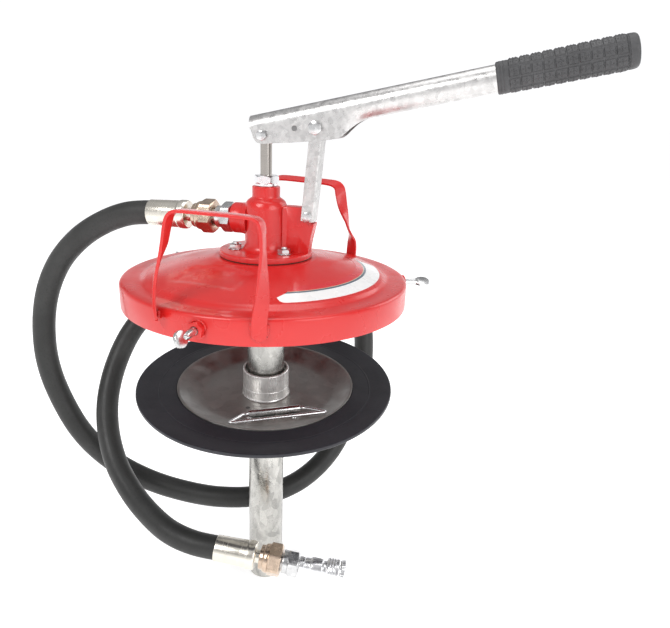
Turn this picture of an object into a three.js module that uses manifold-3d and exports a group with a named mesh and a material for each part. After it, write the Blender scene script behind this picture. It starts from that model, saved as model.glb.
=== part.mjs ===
import * as THREE from 'three';
import { mergeVertices } from 'three/addons/utils/BufferGeometryUtils.js';
import Module from 'manifold-3d';

const wasm = await Module();
wasm.setup();

// Frame: millimetres, +Z up on the pump axis, +X towards the grip of the lever.
// z = 0 is the underside of the lid's rim, where the cover rests on its pail.
const GAP = 0.3;
const DEG = Math.PI / 180;

const SHEET = 1.5;
const LID_R = 160;
const RIM_BOTTOM = -25.8;
const PAD_R = 56;
const PAD_TOP = 24.4;
const SEAT_IN = 140;

const TUBE_R = 21.7;
const TUBE_WALL = 3;
const TUBE_TOP = 33;
const TUBE_FOOT = -402.8;

const FLANGE_R = 52.1;
const FLANGE_BOTTOM = 25.7;
const FLANGE_TOP = 31.7;
const BODY_R = 23.5;
const BODY_TOP = 82;
const NECK_R = 15.3;
const NECK_TOP = 101.7;
const HEAD_BOLT_CIRCLE = 34;
const HEAD_BOLT_ANGLES = [85, 205, 325];

const ROD_R = 6.35;
const OUTLET_Z = 64.5;
const BOSS_R = 17;
const BOSS_END = -38;
const LUG_HALF = 7.3;

const PIN_A = [0, 155.4];
const PIVOT_B = [50.3, 72.6];
const PIVOT_C = [58.3, 165.2];
const SPARE_HOLE = [35.5, 163.6];
const LEVER_AXIS_Z = 164.7;
const LEVER_ANGLE = 12.65 * DEG;
const LEVER_R = 13.1;
const LEVER_WALL = 2.2;
const LEVER_END = 358;
const GRIP_START = 238.7;
const GRIP_END = 363.4;
const LINK_HALF = 10;
const LINK_DEPTH = 14;
const LINK_WALL = 2.2;

const THUMB_Z = -12;
const THUMB_ANGLES = [-93, 27, 147];
const THUMB_TURNS = [15, 50, 0];
const STRAP_WIDTH = 14.5;
const STRAP_THICK = 3;
// Carry handles, right foot to left foot: x, y, z, turn and rise of the strap's width in degrees.
const HANDLE_FRONT = [
  [49.5, -154.1, -19, -72, 0], [49.5, -154.1, -6, -72, 0], [49.8, -154.4, 1, -64, 0],
  [50.7, -154.2, 9, -53, 0], [51.8, -153.4, 19, -38, 0], [52.2, -152.2, 34, -20, 0],
  [52, -151, 50, -3, 0], [51.8, -150.3, 64, 6, 0], [51.6, -150, 76, 6, 0], [51, -150, 83.5, 2, 0],
  [49.2, -150, 88.8, 0, -3], [45, -150, 91.6, 0, -3], [38, -150, 92.5, 0, -3],
  [0, -150, 93.4, 0, -3], [-25, -150, 93.6, 0, -3], [-31.5, -150, 92.8, 0, -2],
  [-36, -150, 89.4, 0, 0], [-38.4, -150, 84, 0, 0], [-40.2, -150, 77.5, 1, 0],
  [-43.8, -150.2, 61.5, 7, 0], [-49, -150.8, 46, 24, 0], [-53.3, -152, 30, 30, 0],
  [-54, -154, 17, 30, 0], [-53.3, -156.4, 7, 30, 0], [-51.6, -158.4, -1.5, 30, 0],
  [-50.8, -158.5, -9.5, 30, 0],
];
const HANDLE_REAR = [
  [66.6, 147.5, -19, 65.7, 0], [66.6, 147.5, -3, 65.7, 0], [67, 147.8, 8, 65.7, 0],
  [66.6, 148.3, 17.5, 55, 0], [64.5, 149, 25.5, 27, 0], [61.2, 150, 33.5, 13, 0],
  [58.4, 150.2, 43.5, 2, 0], [54, 150.2, 56.6, -28, 0], [51.6, 150, 64.5, -40, 0],
  [48.6, 149.5, 79, -58, 8], [47.3, 149, 85, -45, 20], [44.5, 148.3, 89, -25, 25],
  [39.5, 147.5, 91.6, -10, 20], [30, 147, 93, 0, 16], [0, 147, 94.3, 0, 15],
  [-33, 147, 95, 0, 15], [-39, 147, 93.6, 0, 12], [-43.6, 147.4, 89.5, 0, 6],
  [-45.6, 148, 83.5, 0, 0], [-46.6, 148.6, 76, 0, 0], [-47.8, 149.6, 62, -8, 0],
  [-49, 150.6, 48, -26, 0], [-50, 151.6, 34, -46, 0], [-51, 152.8, 20, -62, 0],
  [-51.6, 153.4, 9, -70, 0], [-51.4, 153.5, -1, -71.5, 0], [-51.4, 153.5, -19, -71.5, 0],
];

const FOLLOWER_Z = -131.9;
const FOLLOWER_TILT = 4.9 * DEG;
const FOLLOWER_AXIS = 20 * DEG;
const DISH = -13;
const PLATE_R = 104.6;
const LIP_R = 151.2;
const FLAT_R = 78;
const COLLAR_IN = 24.5;
const BAIL_ANGLE = -60 * DEG;
const BAIL_DIST = 54;
const WIRE_R = 1.9;

const HOSE_R = 14;
const PISTON_TOP = -311;
const VALVE_SEAT = -392;
const BALL_R = 9.5;

const red = { color: 0xd81f26, roughness: 0.35, metalness: 0.1 };
const zinc = { color: 0xb9bcc0, roughness: 0.35, metalness: 0.9 };
const galvanised = { color: 0xa9adb0, roughness: 0.5, metalness: 0.85 };
const bright = { color: 0xd0d2d4, roughness: 0.2, metalness: 1.0 };
const brass = { color: 0xb7a069, roughness: 0.35, metalness: 0.9 };
const rubber = { color: 0x1b1c1e, roughness: 0.7, metalness: 0.0 };
const gasketPaper = { color: 0x4a4338, roughness: 0.9, metalness: 0.0 };
const packingYarn = { color: 0x6d675c, roughness: 0.95, metalness: 0.0 };

const part = new THREE.Group();
part.name = 'gear_oil_pump';

function signedVolume(geometry) {
  const p = geometry.attributes.position;
  const index = geometry.index;
  const a = new THREE.Vector3();
  const b = new THREE.Vector3();
  const c = new THREE.Vector3();
  let volume = 0;
  for (let i = 0; i < index.count; i += 3) {
    a.fromBufferAttribute(p, index.getX(i));
    b.fromBufferAttribute(p, index.getX(i + 1));
    c.fromBufferAttribute(p, index.getX(i + 2));
    volume += a.dot(b.cross(c)) / 6;
  }
  return volume;
}

// One welded surface without zero-area triangles, turned to face outwards.
function weld(source) {
  source.deleteAttribute('normal');
  source.deleteAttribute('uv');
  const merged = mergeVertices(source, 1e-4);
  const kept = [];
  const old = merged.index.array;
  for (let i = 0; i < old.length; i += 3) {
    const [a, b, c] = [old[i], old[i + 1], old[i + 2]];
    if (a !== b && b !== c && c !== a) {
      kept.push(a, b, c);
    }
  }
  merged.setIndex(kept);
  if (signedVolume(merged) < 0) {
    merged.setIndex(kept.reverse());
  }
  return merged;
}

function toSolid(geometry) {
  const mesh = new wasm.Mesh({
    numProp: 3,
    vertProperties: new Float32Array(geometry.attributes.position.array),
    triVerts: new Uint32Array(geometry.index.array),
  });
  mesh.merge();
  return new wasm.Manifold(mesh);
}

function fromSolid(solid) {
  const mesh = solid.getMesh();
  const geometry = new THREE.BufferGeometry();
  geometry.setAttribute('position', new THREE.BufferAttribute(mesh.vertProperties, 3));
  geometry.setIndex(new THREE.BufferAttribute(mesh.triVerts, 1));
  return weld(geometry);
}

function join(...items) {
  return fromSolid(items.map(toSolid).reduce((a, b) => a.add(b)));
}

function cut(body, ...tools) {
  return fromSolid(tools.map(toSolid).reduce((a, b) => a.subtract(b), toSolid(body)));
}

// Body of revolution about Z from [radius, z] pairs; closed on itself unless it ends on the axis.
function lathe(profile, segments) {
  const points = profile.map(([r, z]) => new THREE.Vector2(r, z));
  if (profile[0][0] > 0) {
    points.push(points[0].clone());
  }
  const turned = new THREE.LatheGeometry(points, segments);
  turned.rotateX(Math.PI / 2);
  return weld(turned);
}

function rod(radius, z0, z1, segments = 24) {
  return lathe([[0, z0], [radius, z0], [radius, z1], [0, z1]], segments);
}

function ring(inner, outer, z0, z1, segments = 32) {
  return lathe([[inner, z0], [outer, z0], [outer, z1], [inner, z1]], segments);
}

// Straight prism of a polygon in XY, from z0 to z1.
function prism(points, z0, z1) {
  const shape = new THREE.Shape(points.map(([x, y]) => new THREE.Vector2(x, y)));
  const body = new THREE.ExtrudeGeometry(shape, { depth: z1 - z0, bevelEnabled: false });
  body.translate(0, 0, z0);
  return weld(body);
}

function hexagon(acrossFlats) {
  const corner = acrossFlats / Math.sqrt(3);
  return [0, 1, 2, 3, 4, 5].map((i) => [corner * Math.cos(i * 60 * DEG), corner * Math.sin(i * 60 * DEG)]);
}

function hexNut(acrossFlats, z0, z1) {
  return prism(hexagon(acrossFlats), z0, z1);
}

// Hexagon with both ends chamfered by a turned cone.
function chamferedHex(acrossFlats, z0, z1) {
  const corner = acrossFlats / Math.sqrt(3);
  const flat = acrossFlats / 2;
  const drop = (corner - flat) * 0.6;
  const widest = corner + 0.1;
  const profile = [[0, z0], [flat, z0], [widest, z0 + drop], [widest, z1 - drop], [flat, z1], [0, z1]];
  const turned = toSolid(lathe(profile, 24));
  return fromSolid(toSolid(prism(hexagon(acrossFlats), z0, z1)).intersect(turned));
}

// Moves a body built along +Z so that its Z axis runs from origin along direction.
function along(geometry, origin, direction) {
  const up = new THREE.Vector3(0, 0, 1);
  const turn = new THREE.Quaternion().setFromUnitVectors(up, direction.clone().normalize());
  geometry.applyQuaternion(turn);
  geometry.translate(origin.x, origin.y, origin.z);
  return geometry;
}

const ALONG_Y = new THREE.Vector3(0, 1, 0);
const ALONG_X = new THREE.Vector3(1, 0, 0);

function radial(angle, distance, z) {
  return new THREE.Vector3(distance * Math.cos(angle), distance * Math.sin(angle), z);
}

// Surface through a row of equal loops of points, capped at both ends or closed into a ring.
function loft(loops, closed) {
  const positions = [];
  const index = [];
  const count = loops[0].length;
  loops.forEach((loop) => loop.forEach((p) => positions.push(p.x, p.y, p.z)));
  const spans = closed ? loops.length : loops.length - 1;
  for (let i = 0; i < spans; i += 1) {
    const here = i * count;
    const there = ((i + 1) % loops.length) * count;
    for (let j = 0; j < count; j += 1) {
      const k = (j + 1) % count;
      index.push(here + j, here + k, there + j, here + k, there + k, there + j);
    }
  }
  if (!closed) {
    const last = (loops.length - 1) * count;
    for (let j = 1; j < count - 1; j += 1) {
      index.push(0, j + 1, j, last, last + j, last + j + 1);
    }
  }
  const geometry = new THREE.BufferGeometry();
  geometry.setAttribute('position', new THREE.Float32BufferAttribute(positions, 3));
  geometry.setIndex(index);
  return weld(geometry);
}

// Round bar along an open curve, its section carried without twist.
function roundBar(curve, radius, steps, sides) {
  const frames = curve.computeFrenetFrames(steps, false);
  const loops = [];
  for (let i = 0; i <= steps; i += 1) {
    const centre = curve.getPointAt(i / steps);
    const loop = [];
    for (let j = 0; j < sides; j += 1) {
      const a = (2 * Math.PI * j) / sides;
      const offset = frames.normals[i].clone().multiplyScalar(radius * Math.cos(a));
      offset.addScaledVector(frames.binormals[i], radius * Math.sin(a));
      loop.push(centre.clone().add(offset));
    }
    loops.push(loop);
  }
  return loft(loops, false);
}

function addPiece(name, geometry, look) {
  const flat = geometry.toNonIndexed();
  flat.computeVertexNormals();
  const mesh = new THREE.Mesh(flat, new THREE.MeshStandardMaterial(look));
  mesh.name = name;
  part.add(mesh);
}

// ---- lid ----------------------------------------------------------------

function headBoltHoles(z0, z1) {
  return HEAD_BOLT_ANGLES.map((deg) => {
    const hole = rod(4.4, z0, z1, 12);
    const at = radial(deg * DEG, HEAD_BOLT_CIRCLE, 0);
    hole.translate(at.x, at.y, 0);
    return hole;
  });
}

function lidCover() {
  const top = [
    [LID_R, RIM_BOTTOM], [LID_R, -1.4], [LID_R - 1, 0.6], [LID_R - 3.4, SHEET], [SEAT_IN, SHEET],
    [137, 2.4], [133.5, 5.4], [130, 6.8], [110, 12.4], [90, 17.2], [70, 21.4], [PAD_R, PAD_TOP],
    [TUBE_R + 0.7, PAD_TOP],
  ];
  const under = [
    [TUBE_R + 0.7, PAD_TOP - SHEET], [PAD_R - 0.4, PAD_TOP - SHEET], [69.6, 19.8], [89.6, 15.6],
    [109.6, 10.8], [129.6, 5.2], [132.6, 3.9], [136.4, 0.8], [SEAT_IN - 0.6, 0],
    [LID_R - 3.8, 0], [LID_R - 2.2, -0.6], [LID_R - SHEET, -1.8], [LID_R - SHEET, RIM_BOTTOM],
  ];
  const shell = lathe([...top, ...under], 40);
  const sideHoles = THUMB_ANGLES.map((deg) => {
    const hole = rod(4.6, -8, 8, 12);
    return along(hole, radial(deg * DEG, LID_R, THUMB_Z), radial(deg * DEG, 1, 0));
  });
  return cut(shell, ...headBoltHoles(PAD_TOP - 8, PAD_TOP + 4), ...sideHoles);
}

function weldNut(deg) {
  const length = 6.5;
  const nut = cut(hexNut(15, 0, length), rod(4.4, -1, length + 1, 14));
  nut.rotateZ(15 * DEG);
  return along(nut, radial(deg * DEG, LID_R + 0.4, THUMB_Z), radial(deg * DEG, 1, 0));
}

function thumbScrew(deg, turn) {
  const shaft = lathe([[0, -11], [3, -11], [3.9, -9.5], [3.9, 25], [0, 25]], 14);
  const outline = [[-4.2, 22], [-7.6, 26], [-8.4, 31], [-6.6, 36.5], [-2.6, 39.6], [2.6, 39.6],
    [6.6, 36.5], [8.4, 31], [7.6, 26], [4.2, 22]];
  const wing = prism(outline, -1.7, 1.7);
  wing.rotateX(Math.PI / 2);
  wing.rotateZ(Math.PI / 2);
  const screw = join(shaft, wing);
  screw.rotateZ(turn * DEG);
  return along(screw, radial(deg * DEG, LID_R, THUMB_Z), radial(deg * DEG, 1, 0));
}

// Strap bent by hand: each row turns its width about the vertical and tips it up.
function carryHandle(rows) {
  const centres = rows.map(([x, y, z]) => new THREE.Vector3(x, y, z));
  const loops = rows.map(([, , , turn, rise], i) => {
    const before = centres[Math.max(i - 1, 0)];
    const after = centres[Math.min(i + 1, centres.length - 1)];
    const tangent = after.clone().sub(before).normalize();
    const level = Math.cos(rise * DEG);
    const wide = new THREE.Vector3(
      -Math.sin(turn * DEG) * level, Math.cos(turn * DEG) * level, Math.sin(rise * DEG));
    wide.addScaledVector(tangent, -wide.dot(tangent)).normalize();
    const across = new THREE.Vector3().crossVectors(tangent, wide).normalize();
    const w = STRAP_WIDTH / 2;
    const h = STRAP_THICK / 2;
    return [[w, h], [-w, h], [-w, -h], [w, -h]].map(([u, v]) => {
      const p = centres[i].clone().addScaledVector(wide, u);
      return p.addScaledVector(across, v);
    });
  });
  return loft(loops, false);
}

// ---- pump head ----------------------------------------------------------

function pumpHead() {
  const outside = lathe([
    [0, FLANGE_BOTTOM], [FLANGE_R, FLANGE_BOTTOM], [FLANGE_R, FLANGE_TOP - 1.3],
    [FLANGE_R - 1.2, FLANGE_TOP], [28, FLANGE_TOP], [25.4, 33], [23.9, 36], [BODY_R, 40],
    [BODY_R, BODY_TOP - 2], [BODY_R - 1.1, BODY_TOP + 2], [BODY_R - 4, BODY_TOP + 5],
    [16.4, 88.6], [NECK_R, 90], [NECK_R, NECK_TOP - 0.8], [NECK_R - 0.8, NECK_TOP], [0, NECK_TOP],
  ], 24);
  const bossProfile = [
    [0, 16], [BOSS_R + 1.5, 16], [BOSS_R + 0.3, 24], [BOSS_R, 26], [BOSS_R, -BOSS_END - 1.2],
    [BOSS_R - 1.2, -BOSS_END], [0, -BOSS_END],
  ];
  const outletAxis = [new THREE.Vector3(0, 0, OUTLET_Z), ALONG_X.clone().negate()];
  const boss = along(lathe(bossProfile, 18), ...outletAxis);
  const lugOutline = [
    [16, FLANGE_TOP - 1], [50.8, FLANGE_TOP - 1], [52.6, 44], [57.4, 65.4], [57, 66.2], [54, 66.4],
    [53.6, 76], [51.4, 80], [47.6, 81.6], [16, 81.9],
  ];
  const lug = prism(lugOutline, -LUG_HALF, LUG_HALF);
  lug.rotateX(Math.PI / 2);
  const chamber = lathe([
    [0, FLANGE_BOTTOM - 1], [TUBE_R + 0.4, FLANGE_BOTTOM - 1], [TUBE_R + 0.4, TUBE_TOP + GAP],
    [17, TUBE_TOP + GAP], [17, 74], [ROD_R + 0.6, 80], [ROD_R + 0.6, 84], [10.2, 84],
    [10.2, NECK_TOP + 1], [0, NECK_TOP + 1],
  ], 20);
  const port = along(rod(8, 8, 26, 16), ...outletAxis);
  const socket = along(rod(10.5, 24, 40, 20), ...outletAxis);
  const pinHole = along(rod(3.2, -9, 9, 14), new THREE.Vector3(PIVOT_B[0], 0, PIVOT_B[1]), ALONG_Y);
  const solid = join(outside, boss, lug);
  return cut(solid, chamber, port, socket, pinHole, ...headBoltHoles(FLANGE_BOTTOM - 2, FLANGE_TOP + 6));
}

function flangeGasket() {
  const body = ring(TUBE_R + 0.8, FLANGE_R - 0.6, PAD_TOP + GAP, FLANGE_BOTTOM - GAP, 36);
  return cut(body, ...headBoltHoles(PAD_TOP - 4, FLANGE_TOP));
}

function headBolt(deg) {
  const underLid = PAD_TOP - SHEET - GAP;
  const bolt = join(hexNut(13, underLid - 5, underLid), rod(3.9, underLid - 2, FLANGE_TOP + 8.2, 12));
  const at = radial(deg * DEG, HEAD_BOLT_CIRCLE, 0);
  bolt.translate(at.x, at.y, 0);
  return bolt;
}

function headNut(deg) {
  const nut = cut(hexNut(13, FLANGE_TOP + GAP, FLANGE_TOP + 6), rod(4.2, FLANGE_TOP - 1, FLANGE_TOP + 8, 14));
  const at = radial(deg * DEG, HEAD_BOLT_CIRCLE, 0);
  nut.translate(at.x, at.y, 0);
  return nut;
}

function glandNut() {
  const hex = chamferedHex(25, NECK_TOP + 2.6, NECK_TOP + 11.8);
  hex.rotateZ(8 * DEG);
  const spigot = rod(9.9, 93, NECK_TOP + 4, 24);
  const washer = rod(12.2, NECK_TOP + GAP, NECK_TOP + 3.4, 24);
  return cut(join(hex, spigot, washer), rod(ROD_R + 0.4, 90, NECK_TOP + 14, 24));
}

// ---- suction side -------------------------------------------------------

function pumpTube() {
  const wall = ring(TUBE_R - TUBE_WALL, TUBE_R, TUBE_FOOT, TUBE_TOP, 32);
  const pinHole = along(rod(2.3, -30, 30, 12), new THREE.Vector3(0, 0, -370), ALONG_Y);
  return cut(wall, pinHole);
}

function footValveBody() {
  const outer = TUBE_R - TUBE_WALL - GAP;
  return lathe([
    [8, TUBE_FOOT + 1.5], [outer, TUBE_FOOT + 1.5], [outer, VALVE_SEAT + 4],
    [11, VALVE_SEAT + 4], [8, VALVE_SEAT],
  ], 24);
}

function footValveBall() {
  const ball = new THREE.SphereGeometry(BALL_R, 18, 12);
  ball.translate(0, 0, VALVE_SEAT + 5.7);
  return weld(ball);
}

function ballStopPin() {
  return along(rod(1.9, -22.4, 22.4, 12), new THREE.Vector3(0, 0, -370), ALONG_Y);
}

function pistonRod() {
  const shaft = lathe([
    [0, PISTON_TOP - 29], [4.9, PISTON_TOP - 29], [4.9, PISTON_TOP + GAP],
    [ROD_R, PISTON_TOP + GAP], [ROD_R, PISTON_TOP + 8], [9, PISTON_TOP + 8],
    [9, PISTON_TOP + 11], [ROD_R, PISTON_TOP + 11], [ROD_R, 150], [0, 150],
  ], 20);
  const eyeOutline = [[-6.3, 146], [6.3, 146], [9.6, 150], [10.6, 155.4], [9.4, 161],
    [6, 163.4], [-3.4, 163.4], [-6.3, 160]];
  const eye = prism(eyeOutline, -4.4, 4.4);
  eye.rotateX(Math.PI / 2);
  const slot = prism([[-3.4, 152.1], [7.1, 152.1], [7.1, 159.4], [-3.4, 159.4]], -6, 6);
  slot.rotateX(Math.PI / 2);
  return cut(join(shaft, eye), slot);
}

function piston() {
  const top = PISTON_TOP;
  const body = lathe([
    [5.3, top - 20], [17.6, top - 20], [17.9, top - 19], [17.9, top - 13.3], [15.4, top - 13.3],
    [15.4, top - 6.7], [17.9, top - 6.7], [17.9, top], [5.3, top],
  ], 18);
  const passages = [0, 90, 180, 270].map((deg) => {
    const hole = rod(2.2, top - 22, top + 2, 10);
    hole.translate(9.8 * Math.cos(deg * DEG), 9.8 * Math.sin(deg * DEG), 0);
    return hole;
  });
  return cut(body, ...passages);
}

// ---- lever linkage ------------------------------------------------------

function leverPoint(s) {
  const z = LEVER_AXIS_Z + s * Math.sin(LEVER_ANGLE);
  return new THREE.Vector3(s * Math.cos(LEVER_ANGLE), 0, z);
}

const LEVER_DIR = new THREE.Vector3(Math.cos(LEVER_ANGLE), 0, Math.sin(LEVER_ANGLE));

function leverAxisZ(x) {
  return LEVER_AXIS_Z + x * Math.tan(LEVER_ANGLE);
}

// Tube whose front is opened below into a channel with two deep cheeks.
function lever() {
  const bar = along(rod(LEVER_R, -14.2, LEVER_END, 28), leverPoint(0), LEVER_DIR);
  const cheekOutline = [
    [-13.2, leverAxisZ(-13.2)], [-12, 158.5], [-9.6, 151.4], [-5.4, 147.4], [0, 146.6], [30, 148.9],
    [60, 152], [78, 154.6], [84, 156.6], [90, 160], [126, leverAxisZ(126) - 13.2], [134, leverAxisZ(134)],
  ];
  const cheeks = prism(cheekOutline, -LEVER_R + 0.02, LEVER_R - 0.02);
  cheeks.rotateX(Math.PI / 2);
  const hollow = along(rod(LEVER_R - LEVER_WALL, -20, LEVER_END + 5, 24), leverPoint(0), LEVER_DIR);
  const channelOutline = [
    [-20, leverAxisZ(-20)], [-20, 130], [84, 130], [120, leverAxisZ(120) - 18], [120, leverAxisZ(120)],
  ];
  const inside = LEVER_R - LEVER_WALL;
  const channel = prism(channelOutline, -inside, inside);
  channel.rotateX(Math.PI / 2);
  const holes = [[PIN_A, 3.2], [PIVOT_C, 4.2], [SPARE_HOLE, 3]].map(([at, r]) => {
    return along(rod(r, -20, 20, 14), new THREE.Vector3(at[0], 0, at[1]), ALONG_Y);
  });
  return cut(join(bar, cheeks), hollow, channel, ...holes);
}

function grip() {
  const length = GRIP_END - GRIP_START;
  const bore = LEVER_R + GAP;
  const body = lathe([
    [0, length - 4], [bore, length - 4], [bore, 0], [15.4, 0], [15.8, length - 13], [15.8, length - 4],
    [14.6, length - 1.2], [12, length], [0, length],
  ], 20);
  return along(body, leverPoint(GRIP_START), LEVER_DIR);
}

// Channel strut between the lug and the lever, web on the side away from the rod.
function link() {
  const from = new THREE.Vector3(PIVOT_B[0], 0, PIVOT_B[1]);
  const to = new THREE.Vector3(PIVOT_C[0], 0, PIVOT_C[1]);
  const length = from.distanceTo(to);
  const a = LINK_DEPTH / 2;
  const b = LINK_HALF;
  const t = LINK_WALL;
  const section = [
    [-a, -b], [a, -b], [a, b], [-a, b],
    [-a, b - t], [a - t, b - t], [a - t, -b + t], [-a, -b + t],
  ];
  const body = prism(section, -5.2, length + 7);
  const low = along(rod(3.2, -12, 12, 14), new THREE.Vector3(0, 0, 0), ALONG_Y);
  const high = along(rod(4.2, -12, 12, 14), new THREE.Vector3(0, 0, length), ALONG_Y);
  const strut = cut(body, low, high);
  strut.rotateY(Math.atan2(to.x - from.x, to.z - from.z));
  strut.translate(from.x, from.y, from.z);
  return strut;
}

function pivotBolt(at, outer, acrossFlats, headHeight, shankR, nutHeight) {
  const head = hexNut(acrossFlats, -outer - GAP - headHeight, -outer - GAP);
  const shank = rod(shankR, -outer - headHeight / 2, outer + GAP + nutHeight + 1.6, 12);
  return along(join(head, shank), new THREE.Vector3(at[0], 0, at[1]), ALONG_Y);
}

function pivotNut(at, outer, acrossFlats, shankR, nutHeight) {
  const nut = hexNut(acrossFlats, outer + GAP, outer + GAP + nutHeight);
  const bored = cut(nut, rod(shankR + GAP, outer - 1, outer + nutHeight + 2, 14));
  return along(bored, new THREE.Vector3(at[0], 0, at[1]), ALONG_Y);
}

// ---- delivery side ------------------------------------------------------

const NEAR = new THREE.Vector3(BOSS_END, 0, OUTLET_Z);
const NEAR_DIR = new THREE.Vector3(-1, 0, -0.02).normalize();
const FAR_DIR = new THREE.Vector3(147.5, 18.5, -15.5).normalize();
const FAR = new THREE.Vector3(-25, -89, -312);

// The hose lies in one long loop behind the pump and comes forward again below the follower.
const route = [
  [-100, 0, 63.3], [-148, 0, 62], [-176, 0, 57.5], [-209, 0, 44], [-243, 1, 22], [-274, 2, -10],
  [-297, 3, -52], [-308, 3, -100], [-307, 2, -150], [-293, 3, -200], [-266, 5, -250], [-229, 11, -288],
  [-183, 17, -312], [-130, 24, -326], [-76, 34, -332], [-24, 52, -330], [19, 82, -318],
  [50, 121, -293], [70, 160, -250], [80.5, 186, -199], [81, 199.5, -152], [73, 206.5, -109.5],
  [48.5, 206.5, -72], [14, 200, -49], [-27, 187.5, -39], [-70, 171, -37.5], [-113, 152, -43],
  [-156, 127, -57], [-193, 98, -80], [-218, 71, -112], [-230, 43, -152], [-230, 15, -195],
  [-217, -9, -231], [-193, -32, -262], [-159, -54, -284.5], [-123, -73, -298], [-90, -86.5, -305],
  [-57, -92, -308.7], [-24, -88.9, -312.1], [12, -84.4, -315.9],
];

function hose() {
  const points = route.map(([x, y, z]) => new THREE.Vector3(x, y, z));
  const curve = new THREE.CatmullRomCurve3(points, false, 'centripetal');
  return roundBar(curve, HOSE_R, 56, 8);
}

function outletAdapter() {
  const hex = chamferedHex(30, GAP, 19.7);
  const spigot = rod(9.9, -13, 2, 20);
  const nose = lathe([[0, 18], [9.2, 18], [9.2, 32], [6, 35], [0, 35]], 20);
  const body = cut(join(hex, spigot, nose), rod(5.5, -20, 40, 16));
  return along(body, NEAR, NEAR_DIR);
}

function swivelNut(origin, direction) {
  const hex = chamferedHex(34, 0, 20.5);
  const collar = lathe([[0, 19], [15.6, 19], [13.4, 25.5], [0, 25.5]], 24);
  const bore = lathe([[0, -1], [9.6, -1], [9.6, 17], [8, 19.5], [8, 27], [0, 27]], 20);
  return along(cut(join(hex, collar), bore), origin, direction);
}

function ferrule(origin, direction) {
  const stem = lathe([
    [5, -11.4], [7.5, -11.4], [7.5, 1], [16, 1], [16.6, 3], [16.6, 10], [15.9, 12], [15, 49],
    [HOSE_R + 0.5, 49], [HOSE_R + 0.5, 6], [5, 6],
  ], 20);
  return along(stem, origin, direction);
}

function farPoint(s) {
  return FAR.clone().addScaledVector(FAR_DIR, s);
}

function farAdapter() {
  const hex = chamferedHex(28, 0, 19);
  const nose = lathe([[0, -15], [6, -15], [9.2, -12], [9.2, 2], [0, 2]], 20);
  const spigot = rod(6.6, 18, 30, 16);
  return along(cut(join(hex, nose, spigot), rod(4.5, -20, 40, 14)), farPoint(76), FAR_DIR);
}

function couplerBody() {
  const body = lathe([
    [7, 95.4], [9.8, 95.4], [9.8, 108], [11.8, 110], [11.8, 122.5], [10.3, 124], [10.3, 146.8], [6.6, 147.4],
    [6.6, 122], [4.5, 118], [4.5, 110], [7, 108],
  ], 18);
  return along(body, FAR, FAR_DIR);
}

function couplerSleeve() {
  const sleeve = lathe([
    [10.8, 127], [13.4, 127], [15, 128.6], [15, 148.4], [14, 149.5], [10.8, 149.5],
  ], 20);
  return along(sleeve, FAR, FAR_DIR);
}

// ---- follower -----------------------------------------------------------

// Follower pieces are built level about their own centre and then hang slightly tipped on the tube.
function hang(geometry) {
  const axis = new THREE.Vector3(Math.cos(FOLLOWER_AXIS), Math.sin(FOLLOWER_AXIS), 0);
  geometry.applyQuaternion(new THREE.Quaternion().setFromAxisAngle(axis, FOLLOWER_TILT));
  geometry.translate(0, 0, FOLLOWER_Z);
  return geometry;
}

const SCREW_ANGLES = [-86, -42, 116];
const SCREW_CIRCLE = 68;

function screwHoles(r) {
  return SCREW_ANGLES.map((deg) => {
    const hole = rod(r, DISH - 20, DISH + 10, 10);
    const at = radial(deg * DEG, SCREW_CIRCLE, 0);
    hole.translate(at.x, at.y, 0);
    return hole;
  });
}

function followerPlate() {
  const body = lathe([
    [COLLAR_IN, DISH - 2], [FLAT_R, DISH - 2], [PLATE_R - 2, -2.6], [PLATE_R, -2], [PLATE_R, 0],
    [PLATE_R - 2.4, -0.4], [FLAT_R - 0.6, DISH], [COLLAR_IN, DISH],
  ], 32);
  return cut(body, ...screwHoles(2.6));
}

function followerLip() {
  const body = lathe([
    [36, DISH - 6.4], [FLAT_R + 1.4, DISH - 6.4], [PLATE_R, -7], [125, -6], [LIP_R - 1, -3], [LIP_R, -2.2],
    [LIP_R - 0.4, 1.2], [125, -1.9], [PLATE_R + 0.7, -1.2],
    [PLATE_R + 0.5, -2.6], [PLATE_R - 1, -3.3],
    [FLAT_R + 0.4, DISH - 2.4], [36, DISH - 2.4],
  ], 32);
  return cut(body, ...screwHoles(2.6));
}

function followerBackingRing() {
  return cut(ring(36, FLAT_R - 2, DISH - 8.7, DISH - 6.7, 36), ...screwHoles(2.6));
}

function followerScrew(deg) {
  const head = lathe([
    [0, DISH + GAP], [4.6, DISH + GAP], [4.2, DISH + 2], [2.6, DISH + 3], [0, DISH + 3.2],
  ], 12);
  const shank = rod(2.3, DISH - 10.8, DISH + 1, 10);
  const nut = hexNut(8, DISH - 12, DISH - 9);
  const screw = join(head, shank, nut);
  const at = radial(deg * DEG, SCREW_CIRCLE, 0);
  screw.translate(at.x, at.y, 0);
  return screw;
}

function followerCollar() {
  return lathe([
    [COLLAR_IN, DISH + GAP], [27.4, DISH + GAP], [27, 19.6], [26.4, 20.2], [COLLAR_IN, 20.2],
  ], 28);
}

const BAIL_U = new THREE.Vector3(Math.cos(BAIL_ANGLE), Math.sin(BAIL_ANGLE), 0);
const BAIL_T = new THREE.Vector3(-Math.sin(BAIL_ANGLE), Math.cos(BAIL_ANGLE), 0);
const BAIL_Z = DISH + 4.3;

function bailPoint(t, u, z) {
  const p = new THREE.Vector3(0, 0, z);
  return p.addScaledVector(BAIL_T, t).addScaledVector(BAIL_U, u);
}

function bailSleeve() {
  const sleeve = ring(WIRE_R + 0.4, 3.9, -29.6, 29.6, 12);
  return along(sleeve, bailPoint(0, BAIL_DIST, BAIL_Z), BAIL_T);
}

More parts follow.
